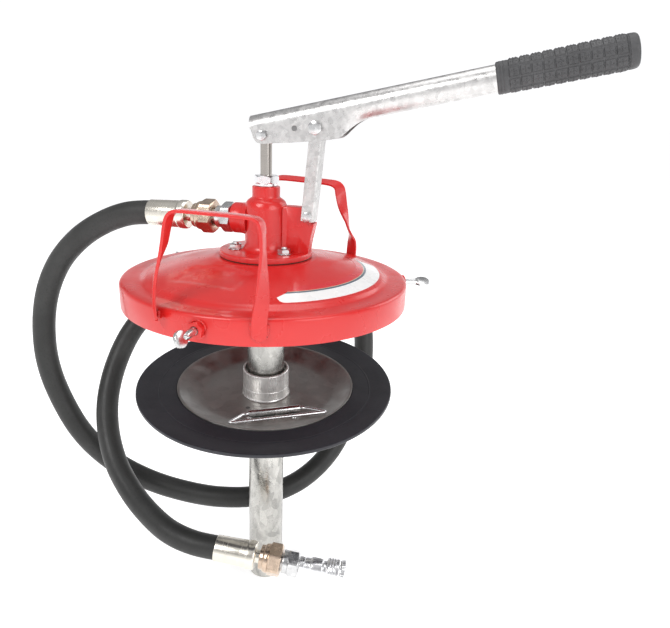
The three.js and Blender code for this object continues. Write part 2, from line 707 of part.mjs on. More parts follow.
// Closed wire loop: straight runs joined by short curved corners, all in one plane.
function bail() {
  const rise = 7.6;
  const reach = 26;
  const corners = [[34.5, 0, 0], [55, reach, rise], [-55, reach, rise], [-34.5, 0, 0]].map(([t, u, z]) => {
    return bailPoint(t, BAIL_DIST + u, BAIL_Z + z);
  });
  const slope = bailPoint(0, reach, rise).normalize();
  const normal = new THREE.Vector3().crossVectors(slope, BAIL_T).normalize();
  const bend = 4;
  const loops = [];
  corners.forEach((corner, i) => {
    const before = corners[(i + 3) % 4];
    const after = corners[(i + 1) % 4];
    const enter = corner.clone().addScaledVector(before.clone().sub(corner).normalize(), bend);
    const leave = corner.clone().addScaledVector(after.clone().sub(corner).normalize(), bend);
    const turn = new THREE.QuadraticBezierCurve3(enter, corner, leave);
    [0, 0.33, 0.67, 1].forEach((t) => {
      const side = new THREE.Vector3().crossVectors(turn.getTangent(t), normal).normalize();
      loops.push([0, 60, 120, 180, 240, 300].map((deg) => {
        const p = turn.getPoint(t).addScaledVector(normal, WIRE_R * Math.cos(deg * DEG));
        return p.addScaledVector(side, WIRE_R * Math.sin(deg * DEG));
      }));
    });
  });
  return loft(loops, true);
}

// ---- assembly -----------------------------------------------------------

addPiece('lid_cover', lidCover(), red);
addPiece('carry_handle_front', carryHandle(HANDLE_FRONT), red);
addPiece('carry_handle_rear', carryHandle(HANDLE_REAR), red);
THUMB_ANGLES.forEach((deg, i) => {
  addPiece(`weld_nut_${i + 1}`, weldNut(deg), red);
  addPiece(`thumb_screw_${i + 1}`, thumbScrew(deg, THUMB_TURNS[i]), zinc);
});
addPiece('flange_gasket', flangeGasket(), gasketPaper);
addPiece('pump_head_casting', pumpHead(), red);
HEAD_BOLT_ANGLES.forEach((deg, i) => {
  addPiece(`head_bolt_${i + 1}`, headBolt(deg), zinc);
  addPiece(`head_nut_${i + 1}`, headNut(deg), zinc);
});
addPiece('gland_nut', glandNut(), bright);
addPiece('gland_packing', ring(ROD_R + 0.4, 9.9, 84.3, 92.7, 24), packingYarn);
addPiece('pump_tube', pumpTube(), galvanised);
addPiece('foot_valve_body', footValveBody(), zinc);
addPiece('foot_valve_ball', footValveBall(), bright);
addPiece('ball_stop_pin', ballStopPin(), bright);
addPiece('piston_rod', pistonRod(), bright);
addPiece('piston', piston(), zinc);
addPiece('piston_seal', ring(15.8, 18.4, PISTON_TOP - 12.9, PISTON_TOP - 7.1, 28), rubber);
addPiece('piston_valve_disc', ring(ROD_R + 0.4, 12.8, PISTON_TOP + GAP, PISTON_TOP + 2.4, 24), bright);
addPiece('piston_nut', cut(hexNut(17, PISTON_TOP - 28, PISTON_TOP - 20.3), rod(5.2, PISTON_TOP - 30, PISTON_TOP - 18, 14)), zinc);
addPiece('link', link(), galvanised);
addPiece('lever', lever(), galvanised);
addPiece('grip', grip(), rubber);
addPiece('pivot_bolt_rod', pivotBolt(PIN_A, LEVER_R, 10, 4, 2.9, 5), zinc);
addPiece('pivot_nut_rod', pivotNut(PIN_A, LEVER_R, 10, 2.9, 5), zinc);
addPiece('pivot_bolt_lever', pivotBolt(PIVOT_C, LEVER_R, 13, 5.3, 3.9, 6.5), zinc);
addPiece('pivot_nut_lever', pivotNut(PIVOT_C, LEVER_R, 13, 3.9, 6.5), zinc);
addPiece('pivot_bolt_link', pivotBolt(PIVOT_B, LINK_HALF, 10, 4, 2.9, 5), zinc);
addPiece('pivot_nut_link', pivotNut(PIVOT_B, LINK_HALF, 10, 2.9, 5), zinc);
addPiece('outlet_adapter', outletAdapter(), zinc);
addPiece('swivel_nut_near', swivelNut(NEAR.clone().addScaledVector(NEAR_DIR, 22.4), NEAR_DIR), brass);
addPiece('ferrule_near', ferrule(NEAR.clone().addScaledVector(NEAR_DIR, 54.5), NEAR_DIR), bright);
addPiece('hose', hose(), rubber);
addPiece('ferrule_far', ferrule(farPoint(44.5), FAR_DIR.clone().negate()), bright);
addPiece('swivel_nut_far', swivelNut(farPoint(74.5), FAR_DIR.clone().negate()), brass);
addPiece('adapter_far', farAdapter(), zinc);
addPiece('coupler_body', couplerBody(), bright);
addPiece('coupler_sleeve', couplerSleeve(), bright);
addPiece('follower_plate', hang(followerPlate()), zinc);
addPiece('follower_lip', hang(followerLip()), rubber);
addPiece('follower_backing_ring', hang(followerBackingRing()), zinc);
addPiece('follower_collar', hang(followerCollar()), bright);
SCREW_ANGLES.forEach((deg, i) => {
  addPiece(`follower_screw_${i + 1}`, hang(followerScrew(deg)), zinc);
});
addPiece('bail_sleeve', hang(bailSleeve()), zinc);
addPiece('bail', hang(bail()), bright);

export default part;
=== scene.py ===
import math

import bmesh
import bpy
from mathutils import Matrix, Quaternion, Vector, noise


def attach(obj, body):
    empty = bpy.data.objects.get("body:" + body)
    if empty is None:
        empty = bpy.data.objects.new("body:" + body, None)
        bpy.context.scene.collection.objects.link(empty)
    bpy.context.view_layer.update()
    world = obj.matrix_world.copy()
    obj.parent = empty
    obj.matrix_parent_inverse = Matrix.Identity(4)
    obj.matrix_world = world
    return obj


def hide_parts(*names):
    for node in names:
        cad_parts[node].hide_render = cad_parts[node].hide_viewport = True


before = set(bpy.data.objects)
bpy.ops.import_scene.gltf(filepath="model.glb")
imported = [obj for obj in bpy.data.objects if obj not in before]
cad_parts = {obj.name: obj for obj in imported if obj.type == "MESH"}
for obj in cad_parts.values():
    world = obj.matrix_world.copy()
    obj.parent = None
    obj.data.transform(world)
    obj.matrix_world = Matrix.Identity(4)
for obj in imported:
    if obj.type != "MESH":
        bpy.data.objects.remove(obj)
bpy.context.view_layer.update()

TAU = 2 * math.pi
DEG = math.pi / 180
MM = 0.001
X, Y, Z = Vector((1, 0, 0)), Vector((0, 1, 0)), Vector((0, 0, 1))

# Sizes that several pieces share, in millimetres.
SKIRT_R = 160
SCREW_Z = -12
FLANGE_BOLT_CIRCLE = 34
DISH_SCREW_CIRCLE = 68
BAIL_OUT = 54
BAIL_WIRE_R = 1.9
FLOOR_Z = -403.2


def polar(angle, radius=1.0):
    """Point at angle about +Z, in the XY plane."""
    return Vector((radius * math.cos(angle), radius * math.sin(angle), 0))


def shade(color, amount):
    """The color times amount."""
    return tuple(c * amount for c in color)


# ---- camera -------------------------------------------------------------

def look_from(position, turn, pitch, roll, lens):
    """Camera at position, looking turn degrees right of +Y and pitch degrees down."""
    camera = bpy.data.cameras.new("camera")
    camera.lens = lens
    camera.sensor_width = 36
    camera.clip_start = 0.01
    holder = bpy.data.objects.new("camera", camera)
    bpy.context.scene.collection.objects.link(holder)
    forward = Vector((
        math.sin(turn * DEG) * math.cos(pitch * DEG),
        math.cos(turn * DEG) * math.cos(pitch * DEG),
        -math.sin(pitch * DEG),
    ))
    right = forward.cross(Z).normalized()
    up = right.cross(forward)
    side = right * math.cos(roll * DEG) + up * math.sin(roll * DEG)
    top = up * math.cos(roll * DEG) - right * math.sin(roll * DEG)
    axes = Matrix((side, top, -forward)).transposed().to_4x4()
    holder.matrix_world = Matrix.Translation(position) @ axes
    bpy.context.scene.camera = holder


look_from(Vector((0.2394, -0.6578, 0.1842)), -13.4, 18.1, 2.1, 33.7)


# ---- materials ----------------------------------------------------------

class Surface:
    """A Principled material built up from object-space procedural textures."""

    def __init__(self, name, color, rough, metallic=0.0, coat=0.0, specular=0.5):
        self.material = bpy.data.materials.new(name)
        self.material.use_nodes = True
        self.nodes = self.material.node_tree.nodes
        self.links = self.material.node_tree.links
        self.shader = self.nodes["Principled BSDF"]
        self.shader.inputs["Base Color"].default_value = (*color, 1)
        self.shader.inputs["Roughness"].default_value = rough
        self.shader.inputs["Metallic"].default_value = metallic
        self.shader.inputs["Coat Weight"].default_value = coat
        self.shader.inputs["Coat Roughness"].default_value = 0.06
        self.shader.inputs["Specular IOR Level"].default_value = specular
        self.color = (*color, 1)
        self.place = self.nodes.new("ShaderNodeTexCoord").outputs["Object"]
        self.height = None

    def stretched(self, scale):
        mapping = self.nodes.new("ShaderNodeMapping")
        mapping.inputs["Scale"].default_value = scale
        self.links.new(self.place, mapping.inputs["Vector"])
        return mapping.outputs["Vector"]

    def noise(self, scale, detail=3.0, rough=0.5, stretch=(1, 1, 1)):
        texture = self.nodes.new("ShaderNodeTexNoise")
        texture.inputs["Scale"].default_value = scale
        texture.inputs["Detail"].default_value = detail
        texture.inputs["Roughness"].default_value = rough
        self.links.new(self.stretched(stretch), texture.inputs["Vector"])
        return texture.outputs["Fac"]

    def cells(self, scale, stretch=(1, 1, 1)):
        texture = self.nodes.new("ShaderNodeTexVoronoi")
        texture.inputs["Scale"].default_value = scale
        self.links.new(self.stretched(stretch), texture.inputs["Vector"])
        return texture.outputs["Color"]

    def ranged(self, value, low, high, to_low, to_high):
        node = self.nodes.new("ShaderNodeMapRange")
        for socket, number in zip(list(node.inputs)[1:5], (low, high, to_low, to_high)):
            socket.default_value = number
        self.links.new(value, node.inputs["Value"])
        return node.outputs["Result"]

    def tint(self, factor, color, low=0.35, high=0.65, most=1.0):
        """Mixes towards color where factor is high."""
        mix = self.nodes.new("ShaderNodeMix")
        mix.data_type = "RGBA"
        base = self.shader.inputs["Base Color"]
        if base.links:
            self.links.new(base.links[0].from_socket, mix.inputs["A"])
        else:
            mix.inputs["A"].default_value = self.color
        mix.inputs["B"].default_value = (*color, 1)
        self.links.new(self.ranged(factor, low, high, 0, most), mix.inputs["Factor"])
        self.links.new(mix.outputs["Result"], base)

    def vary_roughness(self, factor, to_low, to_high, low=0.3, high=0.7):
        result = self.ranged(factor, low, high, to_low, to_high)
        self.links.new(result, self.shader.inputs["Roughness"])

    def bump(self, height, distance, strength=1.0):
        node = self.nodes.new("ShaderNodeBump")
        node.inputs["Strength"].default_value = strength
        node.inputs["Distance"].default_value = distance * MM
        self.links.new(height, node.inputs["Height"])
        if self.height:
            self.links.new(self.height, node.inputs["Normal"])
        self.height = node.outputs["Normal"]
        self.links.new(self.height, self.shader.inputs["Normal"])


# depth below 1 darkens the whole enamel; it makes the copy used as painted shade under the lid.
def red_enamel(name, orange_peel, lumps, depth=1.0):
    s = Surface(name, shade((0.61, 0.017, 0.015), depth), 0.3, coat=0.22)
    s.tint(s.noise(9, 4), shade((0.55, 0.011, 0.013), depth), 0.4, 0.7, 0.5)
    s.tint(s.noise(260, 2), shade((0.66, 0.02, 0.018), depth), 0.55, 0.8, 0.3)
    s.vary_roughness(s.noise(30, 4), 0.2, 0.4)
    s.bump(s.noise(35, 2), lumps)
    s.bump(s.noise(420, 2), orange_peel)
    return s.material


def zinc(name, color, rough, spangle, grain=0.02, streak=(1, 1, 1), coarse=170):
    s = Surface(name, color, rough, metallic=1.0)
    dark = shade(color, 0.62)
    light = tuple(min(1.0, c * 1.18) for c in color)
    s.tint(s.cells(coarse, stretch=streak), dark, 0.1, 0.8, spangle)
    s.tint(s.noise(coarse * 0.3, 4, 0.6, streak), light, 0.45, 0.75, spangle)
    s.tint(s.noise(coarse * 2.2, 3, 0.7, streak), dark, 0.58, 0.78, spangle)
    s.vary_roughness(s.noise(coarse * 0.6, 5, 0.65, streak), rough * 0.7, rough * 1.45)
    s.bump(s.noise(coarse * 0.5, 3, 0.6, streak), grain * 6)
    s.bump(s.noise(coarse * 5, 2, 0.5, streak), grain)
    return s.material


def turned_steel(name, color, rough, axis_stretch, metallic=1.0):
    """Turned or ground metal, with fine marks running round the axis that is not stretched."""
    s = Surface(name, color, rough, metallic=metallic)
    s.tint(s.noise(60, 3, 0.6), shade(color, 0.8), 0.45, 0.75, 0.5)
    s.tint(s.noise(900, 2, 0.5, axis_stretch), shade(color, 0.8), 0.5, 0.8, 0.3)
    s.vary_roughness(s.noise(500, 3, 0.6, axis_stretch), rough * 0.85, rough * 1.2)
    s.bump(s.noise(1400, 2, 0.5, axis_stretch), 0.004)
    return s.material


def black_rubber(name, color, rough, grain_scale, grain, dust=0.4):
    s = Surface(name, color, rough, specular=0.35)
    lighter = tuple(c * 1.9 + 0.012 for c in color)
    s.tint(s.noise(14, 4, 0.6), lighter, 0.45, 0.75, dust)
    s.tint(s.noise(grain_scale * 0.5, 3), shade(color, 0.6), 0.5, 0.8, 0.6)
    s.vary_roughness(s.noise(50, 4), rough * 0.85, min(1.0, rough * 1.2))
    s.bump(s.noise(grain_scale, 3, 0.6), grain)
    return s.material


paint = red_enamel("red_enamel", 0.012, 0.05)
# Darker copy of the enamel for the lid's underside: painted shade.
shaded_underside_paint = red_enamel("red_enamel_painted_shade_underside", 0.012, 0.05, 0.2)
cast_paint = red_enamel("red_enamel_on_casting", 0.05, 0.45)
plate = zinc("zinc_plate", (0.72, 0.72, 0.72), 0.22, 0.6)
galvanised = zinc("galvanised_lever", (0.66, 0.65, 0.64), 0.3, 0.6, 0.03, coarse=240)
tube_zinc = zinc("galvanised_tube", (0.56, 0.55, 0.52), 0.25, 0.95, 0.035, (1, 1, 0.6), 150)
# Dull zinc for the follower's sheet parts; its darker colour is partly painted shade for the shade under the
# lid.
sheet_zinc_darkened_for_shade = zinc("zinc_on_sheet_with_painted_shade", (0.50, 0.49, 0.47), 0.42, 0.4, 0.012, coarse=90)
yellow_zinc = zinc("yellow_passivated_zinc", (0.68, 0.53, 0.41), 0.22, 0.6)
ground = turned_steel("ground_rod", (0.44, 0.41, 0.38), 0.16, (0.05, 0.05, 1))
brushed = turned_steel("turned_fittings", (0.79, 0.75, 0.67), 0.24, (1, 0.05, 0.05))
collar_steel = turned_steel("turned_collar", (0.88, 0.86, 0.84), 0.26, (0.35, 0.35, 0.03), 0.6)
chrome = turned_steel("bright_coupler", (0.93, 0.93, 0.94), 0.24, (1, 0.05, 0.05))
# Dark grey that stands in for the inside of a hole: painted shade.
hole_painted_shade = zinc("painted_shade_in_hole", (0.23, 0.23, 0.23), 0.5, 0.4)
hose_rubber = black_rubber("hose_cover", (0.026, 0.026, 0.025), 0.45, 900, 0.03)
lip_rubber = black_rubber("lip_sheet", (0.026, 0.026, 0.032), 0.36, 500, 0.012, 0.3)
grip_rubber = black_rubber("grip_rubber", (0.062, 0.062, 0.064), 0.5, 700, 0.03, 0.5)
seal_rubber = black_rubber("nitrile", (0.02, 0.02, 0.02), 0.5, 600, 0.01)
gasket = black_rubber("gasket_sheet", (0.06, 0.045, 0.035), 0.8, 400, 0.03)
yarn = black_rubber("packing_yarn", (0.25, 0.22, 0.18), 0.9, 1200, 0.2)


def film(name, color):
    s = Surface(name, color, 0.3, coat=0.5)
    s.tint(s.noise(120, 3), shade(color, 0.9), 0.45, 0.75, 0.4)
    s.vary_roughness(s.noise(40, 3), 0.22, 0.4)
    s.bump(s.noise(300, 2), 0.006)
    return s.material


label_white = film("label_white", (0.86, 0.86, 0.85))
label_red = film("label_red", (0.62, 0.006, 0.014))
label_grey = film("label_grey", (0.06, 0.10, 0.14))
label_cream = film("label_cream", (0.62, 0.52, 0.36))


# ---- mesh building ------------------------------------------------------

class Shape:
    """Vertices in millimetres, gathered from several closed bodies into one mesh."""

    def __init__(self):
        self.verts = []
        self.faces = []
        self.slots = []

    def add(self, verts, faces):
        start = len(self.verts)
        self.verts += [Vector(v) for v in verts]
        self.faces += [tuple(start + i for i in face) for face in faces]
        self.slots += [0] * len(faces)
        return self

    def moved(self, origin, direction=None, turn=0.0):
        """Turns what was built along +Z so that it runs from origin along direction."""
        rotation = Matrix.Rotation(turn, 3, "Z")
        if direction is not None:
            rotation = Z.rotation_difference(Vector(direction)).to_matrix() @ rotation
        self.verts = [rotation @ v + Vector(origin) for v in self.verts]
        return self

    def warp(self, change):
        self.verts = [change(v) for v in self.verts]
        return self

    def join(self, other):
        start = len(self.verts)
        self.verts += other.verts
        self.faces += [tuple(start + i for i in face) for face in other.faces]
        self.slots += other.slots
        return self

    def piece(self, name, body, slot, materials, sharp=38, replaces=(), weld=0.002):
        mesh = bpy.data.meshes.new(name)
        mesh.from_pydata([v * MM for v in self.verts], [], self.faces)
        materials = materials if isinstance(materials, (list, tuple)) else [materials]
        for material in materials:
            mesh.materials.append(material)
        mesh.polygons.foreach_set("material_index", self.slots)
        work = bmesh.new()
        work.from_mesh(mesh)
        bmesh.ops.remove_doubles(work, verts=work.verts, dist=weld * MM)
        bmesh.ops.recalc_face_normals(work, faces=work.faces)
        for face in work.faces:
            face.smooth = True
        for edge in work.edges:
            edge.smooth = len(edge.link_faces) == 2 and edge.calc_face_angle() < sharp * DEG
        work.to_mesh(mesh)
        work.free()
        obj = bpy.data.objects.new(name, mesh)
        bpy.context.scene.collection.objects.link(obj)
        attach(obj, body)
        if replaces:
            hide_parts(*replaces)
        return obj


def rounded(points, radius=0.5, steps=3):
    """A 2D outline with its corners rounded. A point's third number is its own radius."""
    out = []
    count = len(points)
    for i, point in enumerate(points):
        here = Vector(point[:2])
        r = point[2] if len(point) > 2 else radius
        if r == 0:
            out.append(tuple(here))
            continue
        before = Vector(points[i - 1][:2]) - here
        after = Vector(points[(i + 1) % count][:2]) - here
        reach = min(r, before.length * 0.45, after.length * 0.45)
        a = here + before.normalized() * reach
        b = here + after.normalized() * reach
        for k in range(steps + 1):
            t = k / steps
            p = a * (1 - t) ** 2 + here * (2 * t * (1 - t)) + b * t ** 2
            out.append(tuple(p))
    return out


def lathe(profile, segments=64):
    """Turns a closed (radius, height) outline about +Z."""
    verts = []
    for k in range(segments):
        angle = TAU * k / segments
        verts += [(r * math.cos(angle), r * math.sin(angle), z) for r, z in profile]
    n = len(profile)
    faces = []
    for k in range(segments):
        a, b = k * n, (k + 1) % segments * n
        for i in range(n):
            j = (i + 1) % n
            if profile[i][0] < 1e-6 and profile[j][0] < 1e-6:
                continue
            faces.append((a + i, b + i, b + j, a + j))
    return tidy(Shape().add(verts, faces))


def tidy(shape):
    """Merges points at one place and drops the faces that this closes up."""
    seen = {}
    remap = []
    verts = []
    for v in shape.verts:
        key = (round(v.x, 5), round(v.y, 5), round(v.z, 5))
        if key not in seen:
            seen[key] = len(verts)
            verts.append(v)
        remap.append(seen[key])
    faces = []
    slots = []
    for face, slot in zip(shape.faces, shape.slots):
        ring = []
        for i in face:
            if remap[i] not in ring:
                ring.append(remap[i])
        if len(ring) > 2:
            faces.append(tuple(ring))
            slots.append(slot)
    shape.verts, shape.faces, shape.slots = verts, faces, slots
    return shape


def loft(rings, closed=False):
    """Joins equal rings of points with quads and caps the ends unless closed."""
    n = len(rings[0])
    verts = [p for ring in rings for p in ring]
    faces = []
    count = len(rings)
    for i in range(count if closed else count - 1):
        a, b = i * n, (i + 1) % count * n
        faces += [(a + k, a + (k + 1) % n, b + (k + 1) % n, b + k) for k in range(n)]
    if not closed:
        faces.append(tuple(reversed(range(n))))
        faces.append(tuple(range((count - 1) * n, count * n)))
    return Shape().add(verts, faces)


def prism(outline, z0, z1, bevel=0.4):
    """Outline in XY, raised from z0 to z1, with its two rims bevelled."""
    middle = Vector((sum(p[0] for p in outline), sum(p[1] for p in outline))) / len(outline)
    size = max((Vector(p[:2]) - middle).length for p in outline)

    def ring(z, inset):
        shrink = 1 - inset / size
        return [(*(middle + (Vector(p[:2]) - middle) * shrink), z) for p in outline]

    steps = [(0, 1.0), (0.3, 0.3), (1.0, 0)]
    low = [ring(z0 + bevel * up, bevel * inset) for up, inset in steps]
    high = [ring(z1 - bevel * up, bevel * inset) for up, inset in reversed(steps)]
    return loft(low + high)


def hexagon_radius(across_flats, angle):
    part = (angle / DEG) % 60 - 30
    return across_flats / 2 / math.cos(part * DEG)


def hexagon(across_flats, z0, z1, bore=0.0, chamfer=0.55, turn=0.0):
    """Hexagon bar with turned chamfers, which leave curved edges on its flats."""
    flat = across_flats / 2
    corner = across_flats / math.sqrt(3)
    washer = flat * 0.95
    segments = 72
    verts = []
    for k in range(segments):
        angle = TAU * k / segments
        r = min(hexagon_radius(across_flats, angle), corner * 0.985)
        drop = chamfer * (r - washer)
        column = [
            (bore, z0), (washer, z0), (r, z0 + max(drop, 0.15)),
            (r, z1 - drop), (washer, z1), (bore, z1),
        ]
        verts += [(q * math.cos(angle + turn), q * math.sin(angle + turn), z) for q, z in column]
    n = 6
    faces = []
    for k in range(segments):
        a, b = k * n, (k + 1) % segments * n
        last = n if bore else n - 1
        for i in range(last):
            j = (i + 1) % n
            faces.append((a + i, b + i, b + j, a + j))
    return tidy(Shape().add(verts, faces))


def threaded(radius, z0, z1, pitch, depth=None, segments=40, end_chamfer=0.8):
    """A screw thread cut as closely spaced turned ridges, chamfered at its free end z1."""
    depth = depth or pitch * 0.45
    profile = [(0, z0), (radius - depth, z0)]
    z = z0
    while z + pitch < z1 - end_chamfer:
        profile += [(radius - depth, z + pitch * 0.1), (radius, z + pitch * 0.45),
                    (radius, z + pitch * 0.6), (radius - depth, z + pitch * 0.95)]
        z += pitch
    cut = end_chamfer * 0.6
    profile += [(radius - depth, z1 - cut), (radius - depth - cut, z1), (0, z1)]
    return lathe(profile, segments)


def smooth_path(points, per_span=6):
    """Centripetal spline through points of any size, sampled between each pair."""
    points = [Vector(p) for p in points]
    ends = [points[0] * 2 - points[1], *points, points[-1] * 2 - points[-2]]
    out = []
    for i in range(1, len(ends) - 2):
        p = ends[i - 1:i + 3]
        t = [0.0]
        for a, b in zip(p, p[1:]):
            t.append(t[-1] + max((b - a).length, 1e-6) ** 0.5)
        for k in range(per_span):
            at = t[1] + (t[2] - t[1]) * k / per_span
            level = list(p)
            for depth in (1, 2, 3):
                nxt = []
                for m in range(4 - depth):
                    lo, hi = (t[1], t[2]) if depth == 3 else (t[m], t[m + depth])
                    nxt.append(level[m] * ((hi - at) / (hi - lo))
                               + level[m + 1] * ((at - lo) / (hi - lo)))
                level = nxt
            out.append(level[0])
    out.append(points[-1])
    return out


# ---- hose, first of the pieces ------------------------------------------

HOSE_ROUTE = [
    (-100, 0, 63.3), (-148, 0, 62), (-176, 0, 57.5), (-209, 0, 44), (-243, 1, 22),
    (-274, 2, -10), (-297, 3, -52), (-308, 3, -100), (-307, 2, -150), (-293, 3, -200),
    (-266, 5, -250), (-229, 11, -288), (-183, 17, -312), (-130, 24, -326), (-76, 34, -332),
    (-24, 52, -330), (19, 82, -318), (50, 121, -293), (70, 160, -250), (80.5, 186, -199),
    (81, 199.5, -152), (73, 206.5, -109.5), (48.5, 206.5, -72), (14, 200, -49),
    (-27, 187.5, -39), (-70, 171, -37.5), (-113, 152, -43), (-156, 127, -57),
    (-193, 98, -80), (-218, 71, -112), (-230, 43, -152), (-230, 15, -195),
    (-217, -9, -231), (-193, -32, -262), (-159, -54, -284.5), (-123, -73, -298),
    (-90, -86.5, -305), (-57, -92, -308.7), (-24, -88.9, -312.1), (12, -84.4, -315.9),
]
NEAR = Vector((-38, 0, 64.5))
NEAR_DIR = Vector((-1, 0, -0.02)).normalized()
FAR = Vector((-25, -89, -312))
FAR_DIR = Vector((147.5, 18.5, -15.5)).normalized()

hose_curve = bpy.data.curves.new("delivery_hose", "CURVE")
hose_curve.dimensions = "3D"
hose_curve.bevel_depth = 0.014
hose_curve.bevel_resolution = 10
hose_curve.use_fill_caps = True
hose_line = smooth_path(HOSE_ROUTE, 7)
hose_spline = hose_curve.splines.new("POLY")
hose_spline.points.add(len(hose_line) - 1)
for target, point in zip(hose_spline.points, hose_line):
    target.co = (*(point * MM), 1)
hose_curve.materials.append(hose_rubber)
hose = bpy.data.objects.new("delivery_hose", hose_curve)
bpy.context.scene.collection.objects.link(hose)
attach(hose, "frame")
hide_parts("hose")


# ---- hose fittings ------------------------------------------------------

def crimped_ferrule(name, origin, direction, node):
    """Crimped hose ferrule: shell with shallow press marks, rolled lips and the stem's collar."""
    outline = rounded([
        (5, -11.2, 0), (7.5, -11.2, 0.4), (7.5, 0.8, 0.3), (15.4, 0.8, 0.6), (16.1, 2.2, 0.5),
        (16.5, 4, 0.5), (16.5, 9.5, 0.5), (15.9, 11.2, 0.6), (15.6, 20, 0.5), (15.1, 48.4, 0.7),
        (14.5, 49, 0.2), (14.5, 6, 0), (5, 6, 0),
    ])
    shell = lathe(outline, 96)

    def press(v):
        """Eight press dies leave faint flats along the shell."""
        if 12 < v.z < 47 and math.hypot(v.x, v.y) > 14.8:
            angle = math.atan2(v.y, v.x)
            dent = 0.12 * max(0.0, math.cos(8 * angle)) ** 6
            return Vector((v.x * (1 - dent / 15), v.y * (1 - dent / 15), v.z))
        return v

    shell.warp(press).moved(origin, direction)
    return shell.piece(name, "frame", "bright_steel", brushed, replaces=[node])


def swivel(name, origin, direction, node, turn):
    """Hexagon swivel nut with the rounded collar that holds it on the stem."""
    body = hexagon(34, 0, 15.2, 9.7, 0.6, turn=turn)
    collar = lathe(rounded([
        (9.6, 15, 0), (16.2, 15, 0), (16.4, 17, 0.8), (15.6, 20.2, 1.0), (14.2, 21, 0.6),
        (13.6, 25.4, 0.7), (8.1, 25.4, 0.3), (8.1, 20, 0), (9.6, 17, 0),
    ]), 72)
    return body.join(collar).moved(origin, direction).piece(
        name, "frame", "yellow_zinc", yellow_zinc, replaces=[node])


def near_point(s):
    return NEAR + NEAR_DIR * s


def far_point(s):
    return FAR + FAR_DIR * s


outlet = hexagon(30, 0.3, 12.2, 5.5, 0.55, turn=0.2)
outlet.join(lathe(rounded([
    (5.5, 12, 0), (12.8, 12, 0), (12.8, 14, 0.4), (12.2, 14.6, 0.3), (12.2, 19.7, 0.6), (5.5, 19.7, 0),
]), 64))
outlet.join(lathe([(5.5, -13), (9.9, -13), (9.9, 1), (5.5, 1)], 48))
outlet.join(lathe(rounded([
    (5.5, 19, 0), (9.2, 19, 0), (9.2, 32, 0.4), (6, 34.8, 0.3), (5.5, 34.8, 0),
]), 48))
outlet.moved(NEAR, NEAR_DIR).piece(
    "outlet_fitting", "frame", "zinc_plate", plate, replaces=["outlet_adapter"])
swivel("swivel_near", near_point(22.4), NEAR_DIR, "swivel_nut_near", 0.28)
crimped_ferrule("crimp_near", near_point(54.5), NEAR_DIR, "ferrule_near")

crimp_far = crimped_ferrule("crimp_far", far_point(44.5), -FAR_DIR, "ferrule_far")
swivel_far = swivel("swivel_far", far_point(74.5), -FAR_DIR, "swivel_nut_far", 0.5)
end_fitting = hexagon(28, 6.5, 19, 4.5, 0.6, turn=0.1)
end_fitting.join(lathe(rounded([
    (4.5, 0.2, 0), (13.4, 0.2, 0.8), (13.4, 6.6, 0.3), (4.5, 6.6, 0),
]), 64))
end_fitting.join(lathe([(4.5, -15), (6, -15), (9.2, -12), (9.2, 2), (4.5, 2)], 48))
end_fitting.join(lathe([(4.5, 18), (6.6, 18), (6.6, 30), (4.5, 30)], 48))
end_fitting = end_fitting.moved(far_point(76), FAR_DIR).piece(
    "end_fitting", "frame", "zinc_plate", plate, replaces=["adapter_far"])

coupler = lathe(rounded([
    (7, 108, 0), (7, 95.4, 0), (9.4, 95.4, 0.4), (9.8, 96.6, 0.3), (9.8, 101.6, 0.3), (9.1, 102, 0.2),
    (9.1, 103, 0.2), (9.8, 103.4, 0.3), (9.8, 107.8, 0.5), (11.8, 110.2, 0.6), (11.8, 122.4, 0.6),
    (10.3, 124, 0.3), (10.3, 146.4, 0.5), (9.7, 147.2, 0.3), (6.6, 147.2, 0.4), (6.6, 122, 0),
    (4.5, 118, 0), (4.5, 110, 0),
]), 72).moved(FAR, FAR_DIR).piece(
    "quick_coupler", "frame", "bright_steel", chrome, replaces=["coupler_body"])

sleeve_profile = [(10.8, 149.2), (10.8, 127.2), (12.6, 127.2), (13.4, 127.8)]
for groove in (130.4, 133.4, 136.4):
    sleeve_profile += [(14.6, groove - 1.0), (14.9, groove - 0.5), (14.9, groove + 0.4),
                       (14.1, groove + 0.9), (14.1, groove + 1.5)]
sleeve_profile += [(14.9, 138.8), (14.9, 141.6), (14.2, 142.2), (13.9, 143.4), (14.2, 144.4),
                   (14.9, 145.0), (14.9, 148.6), (14.2, 149.4), (11.6, 149.4)]


def knurl(v):
    """Straight knurl on the sleeve's front band."""
    r = math.hypot(v.x, v.y)
    if v.z > 144.6 and r > 14:
        angle = math.atan2(v.y, v.x)
        cut = 0.28 * (0.5 + 0.5 * math.cos(36 * angle))
        return Vector((v.x * (1 - cut / r), v.y * (1 - cut / r), v.z))
    return v


lathe(sleeve_profile, 144).warp(knurl).moved(FAR, FAR_DIR).piece(
    "sleeve_grip", "coupler_sleeve", "bright_steel", chrome, replaces=["coupler_sleeve"])


# ---- lid ----------------------------------------------------------------

